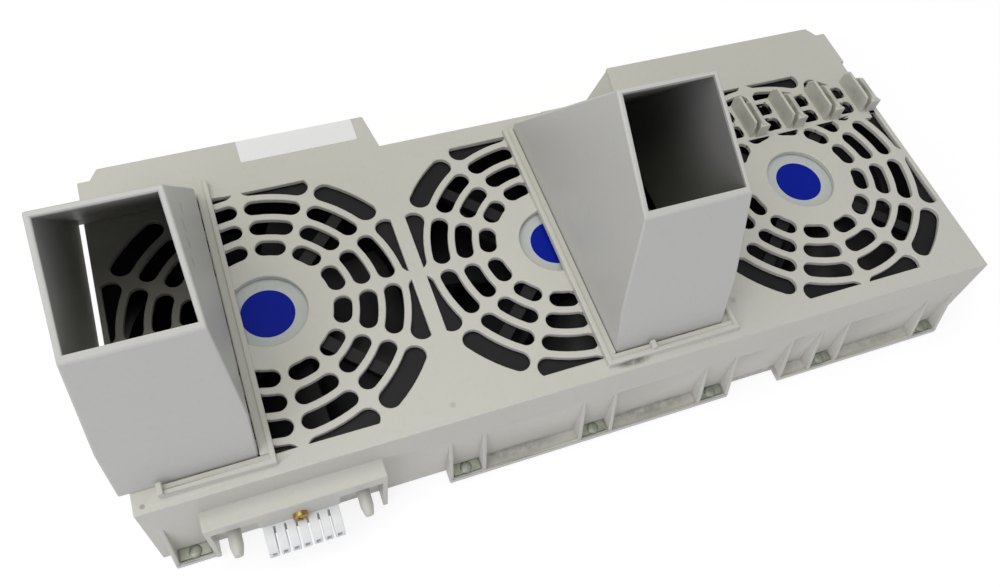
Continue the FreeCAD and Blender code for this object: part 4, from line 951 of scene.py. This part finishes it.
class FANTRAY_OT_shell(Operator):
    """Round the edges of the moulded shell and give it its beige plastic"""
    bl_idname = "fan_tray.shell"
    bl_label = "Moulded Shell"

    def execute(self, context):
        chosen = settings().shell
        radius = chosen.edge_radius
        marks = [((x, y, SHELL_HEIGHT), reach, strength) for x, y, reach, strength in PLATE_MARK_SHADE]
        plastic = moulded_abs("moulded ABS, beige grey", tuple(chosen.colour), shell_dirt(), marks)
        bm = merged_copy("tray_shell")
        clear_clip_row(bm)
        narrow_notch(bm)
        plain = combine(to_mesh(bm, "shell_moulding"), clip_windows(), "DIFFERENCE")
        plain = combine(plain, front_slots(), "DIFFERENCE")
        mesh = rounded(plain, "shell_moulding", radius, 2)
        shell = new_piece("shell_moulding", mesh, plastic, TRAY)
        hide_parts("tray_shell")
        self.clip_row(plastic, radius)
        walls = rounded(leaning_ends(), "tab_end_walls", radius, 2)
        new_piece("tab_end_walls", walls, plastic, TRAY)
        ledges = rounded(seat_ledges(), "seat_ledges", radius, 2)
        new_piece("seat_ledges", ledges, plastic, TRAY)
        new_piece("hood_face", hood_face(), plastic, TRAY)
        return {"FINISHED"}

    def clip_row(self, plastic, radius):
        """A comb with two rows of windows across the right grille, and the clips that stand on it."""
        ends = (CLIP_PLACES[0] - COMB_PAST_FIRST, CLIP_PLACES[-1] + COMB_PAST_LAST)
        plan = rectangle(*ends, COMB_FRONT, COMB_BACK)
        solid = upright("clip_comb", plan, SHELL_HEIGHT - SUNK, SHELL_HEIGHT - FLUSH)
        comb = combine(solid, clip_windows(), "DIFFERENCE")
        new_piece("clip_comb", rounded(comb, "clip_comb", radius, 2), plastic, TRAY)
        shape = shape_object("clip_shape", rounded(clip_shape(), "clip_shape", radius, 2))
        steps = [((place - CLIP_PLACES[0]) * MM, 0.0, 0.0) for place in CLIP_PLACES]
        clips = grow(copies_tree(), steps, "grille_clips", Shape=shape, Size=1.0, Turn=0.0, Finish=plastic)
        bpy.data.objects.remove(shape)
        new_piece("grille_clips", clips, plastic, TRAY)


class FANTRAY_OT_scoops(Operator):
    """Round the edges of the two air scoops and give them their grey plastic"""
    bl_idname = "fan_tray.scoops"
    bl_label = "Air Scoops"

    def execute(self, context):
        chosen = settings().shell
        reach = (3.0, 2.6, 3.2)
        grey_spots = [((SCOOP_WALL, y, z), reach, 0.45, "#77787C") for y, z in SCOOP_SMUDGES]
        # The last number of each three is the strength of the painted shade inside that duct
        for node, smudges, duct_shade in (("left_scoop", grey_spots, 0.2), ("middle_scoop", [], 0.62)):
            colour = tuple(chosen.scoop_colour)
            plastic = moulded_abs("moulded ABS, grey, " + node, colour, smudges, duct_shade=duct_shade)
            mesh = rounded_copy(node, node + "_moulding", chosen.scoop_edge_radius, 3)
            mark_inside(mesh)
            piece = new_piece(node + "_moulding", mesh, plastic, TRAY)
            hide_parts(node)
        return {"FINISHED"}


class FANTRAY_OT_fans(Operator):
    """Give every piece of the three fans its material"""
    bl_idname = "fan_tray.fans"
    bl_label = "Fans"

    def execute(self, context):
        black = filled_pbt("glass filled PBT, black", tuple(settings().fan.colour))
        finishes = {
            "frame": black,
            "impeller": black,
            "yoke": plain_metal("drawn steel, ground", linear("#9B9C9E"), 0.25, 0.4, 0.8),
            "shaft": plain_metal("shaft steel, polished", linear("#B4B5B8"), 0.12, 0.25, 0.6),
            "bearings": plain_metal("bearing steel, ground", linear("#A9AAAC"), 0.18, 0.32, 0.7),
            "stator": plain_metal("stacked core sheet", linear("#6C6E70"), 0.4, 0.6, 0.5),
            "coils": plain_metal("enamelled copper wire", linear("#B8703F"), 0.25, 0.4, 0.4),
            "magnet": dull_solid("sintered ferrite", linear("#333333"), 0.6, 0.7),
            "board": dull_solid("fibreglass board, green solder mask", linear("#23562F"), 0.4, 1.5),
        }
        for side in SIDES:
            for part, finish in finishes.items():
                dress("%s_fan_%s" % (side, part), finish)
        return {"FINISHED"}


class FANTRAY_OT_films(Operator):
    """Stick the round films on the three motors and a bare paper label near the plate's back edge"""
    bl_idname = "fan_tray.films"
    bl_label = "Films and Label"

    def execute(self, context):
        chosen = settings().fan
        pitch = fan_pitch()
        tree = films_tree()
        film = chosen.film_thickness
        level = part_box("left_fan_frame")[1][2] + film / 2.0
        silver = printed_film("silvered polyester film", linear("#BFC4C1"), 0.35, 0.5)
        ring = grow(tree, [], "hub_rings", Radius=chosen.ring_radius, Thickness=film, Pitch=pitch, Count=3,
                    Level=level, Finish=silver)
        new_piece("hub_rings", ring, silver, TRAY)
        blue = printed_film("printed polyester film, blue", tuple(chosen.disc_colour), 0.3, 0.08)
        disc = grow(tree, [], "hub_discs", Radius=chosen.disc_radius, Thickness=film, Pitch=pitch, Count=3,
                    Level=level + film, Finish=blue)
        new_piece("hub_discs", disc, blue, TRAY)
        self.paper_label()
        return {"FINISHED"}

    def paper_label(self):
        """A bare label with rounded corners near the back edge."""
        x, y = LABEL_CENTRE
        along, deep = LABEL_HALF
        plan = rounded_rectangle(x - along, x + along, y - deep, y + deep, LABEL_CORNER)
        under, over = LABEL_FACES
        mesh = upright("paper_label", plan, SHELL_HEIGHT + under, SHELL_HEIGHT + over)
        paper = label_paper("coated label paper", linear("#F2F3F2"))
        new_piece("paper_label", mesh, paper, TRAY)


class FANTRAY_OT_connector(Operator):
    """Finish the connector, its contacts and its brass screw"""
    bl_idname = "fan_tray.connector"
    bl_label = "Connector"

    def execute(self, context):
        chosen = settings().hardware
        nylon = natural_nylon("natural nylon, moulded", tuple(chosen.nylon_colour))
        mesh = rounded_copy("connector_housing", "connector_moulding", FINGER_EDGE * MM, 2)
        draw_back(mesh, FINGER_LINE)
        housing = new_piece("connector_moulding", mesh, nylon, TRAY)
        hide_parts("connector_housing")
        brass = turned_brass("turned brass, tarnished", tuple(chosen.brass_colour))
        mesh = to_mesh(merged_copy("connector_contacts"), "contact_blades")
        draw_back(mesh, BLADE_LINE)
        blades = new_piece("contact_blades", mesh, brass, TRAY)
        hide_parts("connector_contacts")
        low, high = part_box("connector_screw")
        centre = Vector(((low[0] + high[0]) / 2.0, low[1], (low[2] + high[2]) / 2.0))
        head = lathe(BRASS_SCREW, chosen.dome_segments)
        mesh = cross_recess(head, BRASS_SCREW[-1][1], reach=2.2, width=0.9, depth=1.4)
        turn = Matrix.Rotation(math.radians(90.0), 4, "X") @ Matrix.Rotation(math.radians(BRASS_TURN), 4, "Z")
        mesh.transform(Matrix.Translation(centre) @ turn)
        screw = new_piece("connector_brass_screw", mesh, brass, TRAY)
        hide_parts("connector_screw")
        return {"FINISHED"}


class FANTRAY_OT_hardware(Operator):
    """Finish the base plate and the pads, and make the rivets and the fan screws"""
    bl_idname = "fan_tray.hardware"
    bl_label = "Base Plate and Fasteners"

    def execute(self, context):
        chosen = settings().hardware
        zinc = zinc_plate("zinc plated sheet steel", tuple(chosen.zinc_colour), 0.36, 0.56)
        dulled = zinc_plate("zinc plated rivet steel, dulled", tuple(chosen.zinc_colour), 0.5, 0.66)
        dress("base_plate", zinc)
        dress("fan_pads", dull_solid("neoprene rubber", linear("#2A2A2B"), 0.75, 0.8))
        tree = copies_tree()
        rivet_low, rivet_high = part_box("tab_rivets")
        row = (rivet_low[1] + rivet_high[1]) / 2.0
        points = [(x * MM, row, 0.0) for x in RIVET_PLACES]
        shape = shape_object("rivet_shape", to_mesh(lathe(RIVET, chosen.dome_segments), "rivet_shape"))
        domes = grow(tree, points, "tab_rivet_domes", Shape=shape, Size=1.0, Turn=0.0, Finish=dulled)
        bpy.data.objects.remove(shape)
        piece = new_piece("tab_rivet_domes", domes, dulled, TRAY)
        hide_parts("tab_rivets")
        self.fan_screws(tree, zinc, chosen.dome_segments)
        return {"FINISHED"}

    def fan_screws(self, tree, zinc, segments):
        """Cross-recessed screws under the corners of the fans."""
        head = lathe(FAN_SCREW, segments)
        mesh = cross_recess(head, FAN_SCREW[-1][1], reach=2.0, width=0.8, depth=1.1)
        mesh.transform(Matrix.Rotation(math.pi, 4, "X"))
        shape = shape_object("screw_shape", mesh)
        low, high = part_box("fan_screws")
        pitch = fan_pitch()
        half = (high[1] - low[1]) / 2.0 - FAN_SCREW_HEAD * MM
        points = []
        for step in (-1, 0, 1):
            points += [(step * pitch + x * half, y * half, low[2]) for x in (-1, 1) for y in (-1, 1)]
        mesh = grow(tree, points, "fan_cross_screws", Shape=shape, Size=1.0, Turn=FAN_SCREW_TURN, Finish=zinc)
        bpy.data.objects.remove(shape)
        piece = new_piece("fan_cross_screws", mesh, zinc, TRAY)
        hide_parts("fan_screws")


class FANTRAY_OT_stage(Operator):
    """Set up the camera, the soft boxes, the pale floor and the white surroundings"""
    bl_idname = "fan_tray.stage"
    bl_label = "Studio"

    def execute(self, context):
        chosen = settings().stage
        scene = context.scene
        scene.view_settings.view_transform = "Standard"
        self.camera(scene)
        self.floor()
        self.world(scene, chosen.sky)
        warm = linear("#FFFDF4")[:3]
        cool = linear("#ECE9FF")[:3]
        self.soft_box("key_box", KEY_PLACE, KEY_SIZE, chosen.key_power, warm)
        self.soft_box("fill_box", FILL_PLACE, FRONT_SIZE, chosen.fill_power, cool)
        self.soft_box("side_box", SIDE_PLACE, FRONT_SIZE, chosen.side_power, cool)
        return {"FINISHED"}

    def camera(self, scene):
        """The camera at the photograph's viewing angle."""
        data = bpy.data.cameras.new("camera")
        data.sensor_fit = "HORIZONTAL"
        data.sensor_width = SENSOR_WIDTH
        data.lens = CAMERA_LENS
        data.clip_start = 0.01
        camera = bpy.data.objects.new("camera", data)
        turn = Matrix((CAMERA_RIGHT, -CAMERA_DOWN, -CAMERA_AHEAD)).transposed().to_4x4()
        camera.matrix_world = Matrix.Translation(CAMERA_PLACE) @ turn
        scene.collection.objects.link(camera)
        scene.camera = camera

    def floor(self):
        """A pale sheet under the tray that the camera sees as white and that keeps the shadow."""
        corners = rectangle(-FLOOR_HALF, FLOOR_HALF, -FLOOR_HALF, FLOOR_HALF)
        mesh = bpy.data.meshes.new("floor")
        mesh.from_pydata([(x, y, FLOOR_LEVEL) for x, y in corners], [], [(0, 1, 2, 3)])
        floor = shape_object("floor", mesh)
        material = bpy.data.materials.new("white paper sweep")
        material.use_nodes = True
        tree = material.node_tree
        tree.nodes.clear()
        rays = add_node(tree, "ShaderNodeLightPath")
        seen = add_node(tree, "ShaderNodeMath", {
            0: rays.outputs["Is Camera Ray"], 1: rays.outputs["Is Glossy Ray"]}, operation="MAXIMUM")
        either = add_node(tree, "ShaderNodeMath", {
            0: seen.outputs[0], 1: rays.outputs["Is Transmission Ray"]}, operation="MAXIMUM")
        paper = add_node(tree, "ShaderNodeBsdfDiffuse", {"Color": linear("#DCDCDA")})
        soft = add_node(tree, "ShaderNodeBsdfDiffuse", {"Color": linear("#8C8C8C")})
        # The paper right under the tray stays unlit, so that the fans are dark inside
        place = add_node(tree, "ShaderNodeTexCoord")
        scaled = add_node(tree, "ShaderNodeVectorMath", {
            0: place.outputs["Object"], 1: (1.0 / DARK_HALF[0], 1.0 / DARK_HALF[1], 0.0)}, operation="MULTIPLY")
        away = add_node(tree, "ShaderNodeVectorMath", {0: scaled.outputs[0]}, operation="ABSOLUTE")
        axes = add_node(tree, "ShaderNodeSeparateXYZ", {0: away.outputs[0]})
        edge = add_node(tree, "ShaderNodeMath", {0: axes.outputs[0], 1: axes.outputs[1]}, operation="MAXIMUM")
        strength = add_node(tree, "ShaderNodeMapRange", {
            "Value": edge.outputs[0], "From Min": 0.96, "From Max": 1.0, "To Min": 0.0, "To Max": 0.80})
        glow = add_node(tree, "ShaderNodeEmission", {
            "Color": (1.0, 1.0, 1.0, 1.0), "Strength": strength.outputs[0]})
        shown = add_node(tree, "ShaderNodeAddShader", {0: soft.outputs[0], 1: glow.outputs[0]})
        mixed = add_node(tree, "ShaderNodeMixShader", {
            0: either.outputs[0], 1: paper.outputs[0], 2: shown.outputs[0]})
        add_node(tree, "ShaderNodeOutputMaterial", {"Surface": mixed.outputs[0]})
        mesh.materials.append(material)

    def world(self, scene, sky):
        """Even light from all around, which the camera sees as white."""
        world = bpy.data.worlds.new("studio")
        world.use_nodes = True
        tree = world.node_tree
        tree.nodes.clear()
        rays = add_node(tree, "ShaderNodeLightPath")
        seen = add_node(tree, "ShaderNodeMath", {
            0: rays.outputs["Is Camera Ray"], 1: rays.outputs["Is Transmission Ray"]}, operation="MAXIMUM")
        light = add_node(tree, "ShaderNodeBackground", {"Color": linear("#F4F6FA"), "Strength": sky})
        white = add_node(tree, "ShaderNodeBackground", {"Color": (1.0, 1.0, 1.0, 1.0), "Strength": 1.0})
        mixed = add_node(tree, "ShaderNodeMixShader", {
            0: seen.outputs[0], 1: light.outputs[0], 2: white.outputs[0]})
        add_node(tree, "ShaderNodeOutputWorld", {"Surface": mixed.outputs[0]})
        scene.world = world

    def soft_box(self, name, place, size, power, colour):
        """A square lamp that looks at the tray."""
        data = bpy.data.lights.new(name, "AREA")
        data.shape = "SQUARE"
        data.size = size
        data.energy = power
        data.color = colour
        lamp = bpy.data.objects.new(name, data)
        turn = (LIT_POINT - place).to_track_quat("-Z", "Y").to_matrix().to_4x4()
        lamp.matrix_world = Matrix.Translation(place) @ turn
        bpy.context.scene.collection.objects.link(lamp)


class FANTRAY_PT_panel(Panel):
    """Sidebar list of the fan tray's pieces and sizes"""
    bl_idname = "FANTRAY_PT_panel"
    bl_label = "Fan Tray"
    bl_space_type = "VIEW_3D"
    bl_region_type = "UI"
    bl_category = "Fan Tray"

    def draw(self, context):
        layout = self.layout
        for operator in OPERATORS:
            layout.operator(operator.bl_idname)
        for group in (settings().shell, settings().fan, settings().hardware, settings().stage):
            box = layout.box()
            for name in group.bl_rna.properties.keys():
                if name not in ("rna_type", "name"):
                    box.prop(group, name)


OPERATORS = (FANTRAY_OT_shell, FANTRAY_OT_scoops, FANTRAY_OT_fans, FANTRAY_OT_films, FANTRAY_OT_connector,
             FANTRAY_OT_hardware, FANTRAY_OT_stage)
CLASSES = (ShellSettings, FanSettings, HardwareSettings, StageSettings, FanTraySettings) + OPERATORS + (
    FANTRAY_PT_panel,)


def register():
    """Add the classes and the settings to Blender."""
    for cls in CLASSES:
        bpy.utils.register_class(cls)
    bpy.types.Scene.fan_tray = PointerProperty(type=FanTraySettings)


def unregister():
    """Take the classes and the settings out of Blender again."""
    del bpy.types.Scene.fan_tray
    for cls in reversed(CLASSES):
        bpy.utils.unregister_class(cls)


def main():
    """Make every piece and the stage."""
    register()
    for operator in OPERATORS:
        group, name = operator.bl_idname.split(".")
        getattr(getattr(bpy.ops, group), name)()


if __name__ == "__main__":
    main()
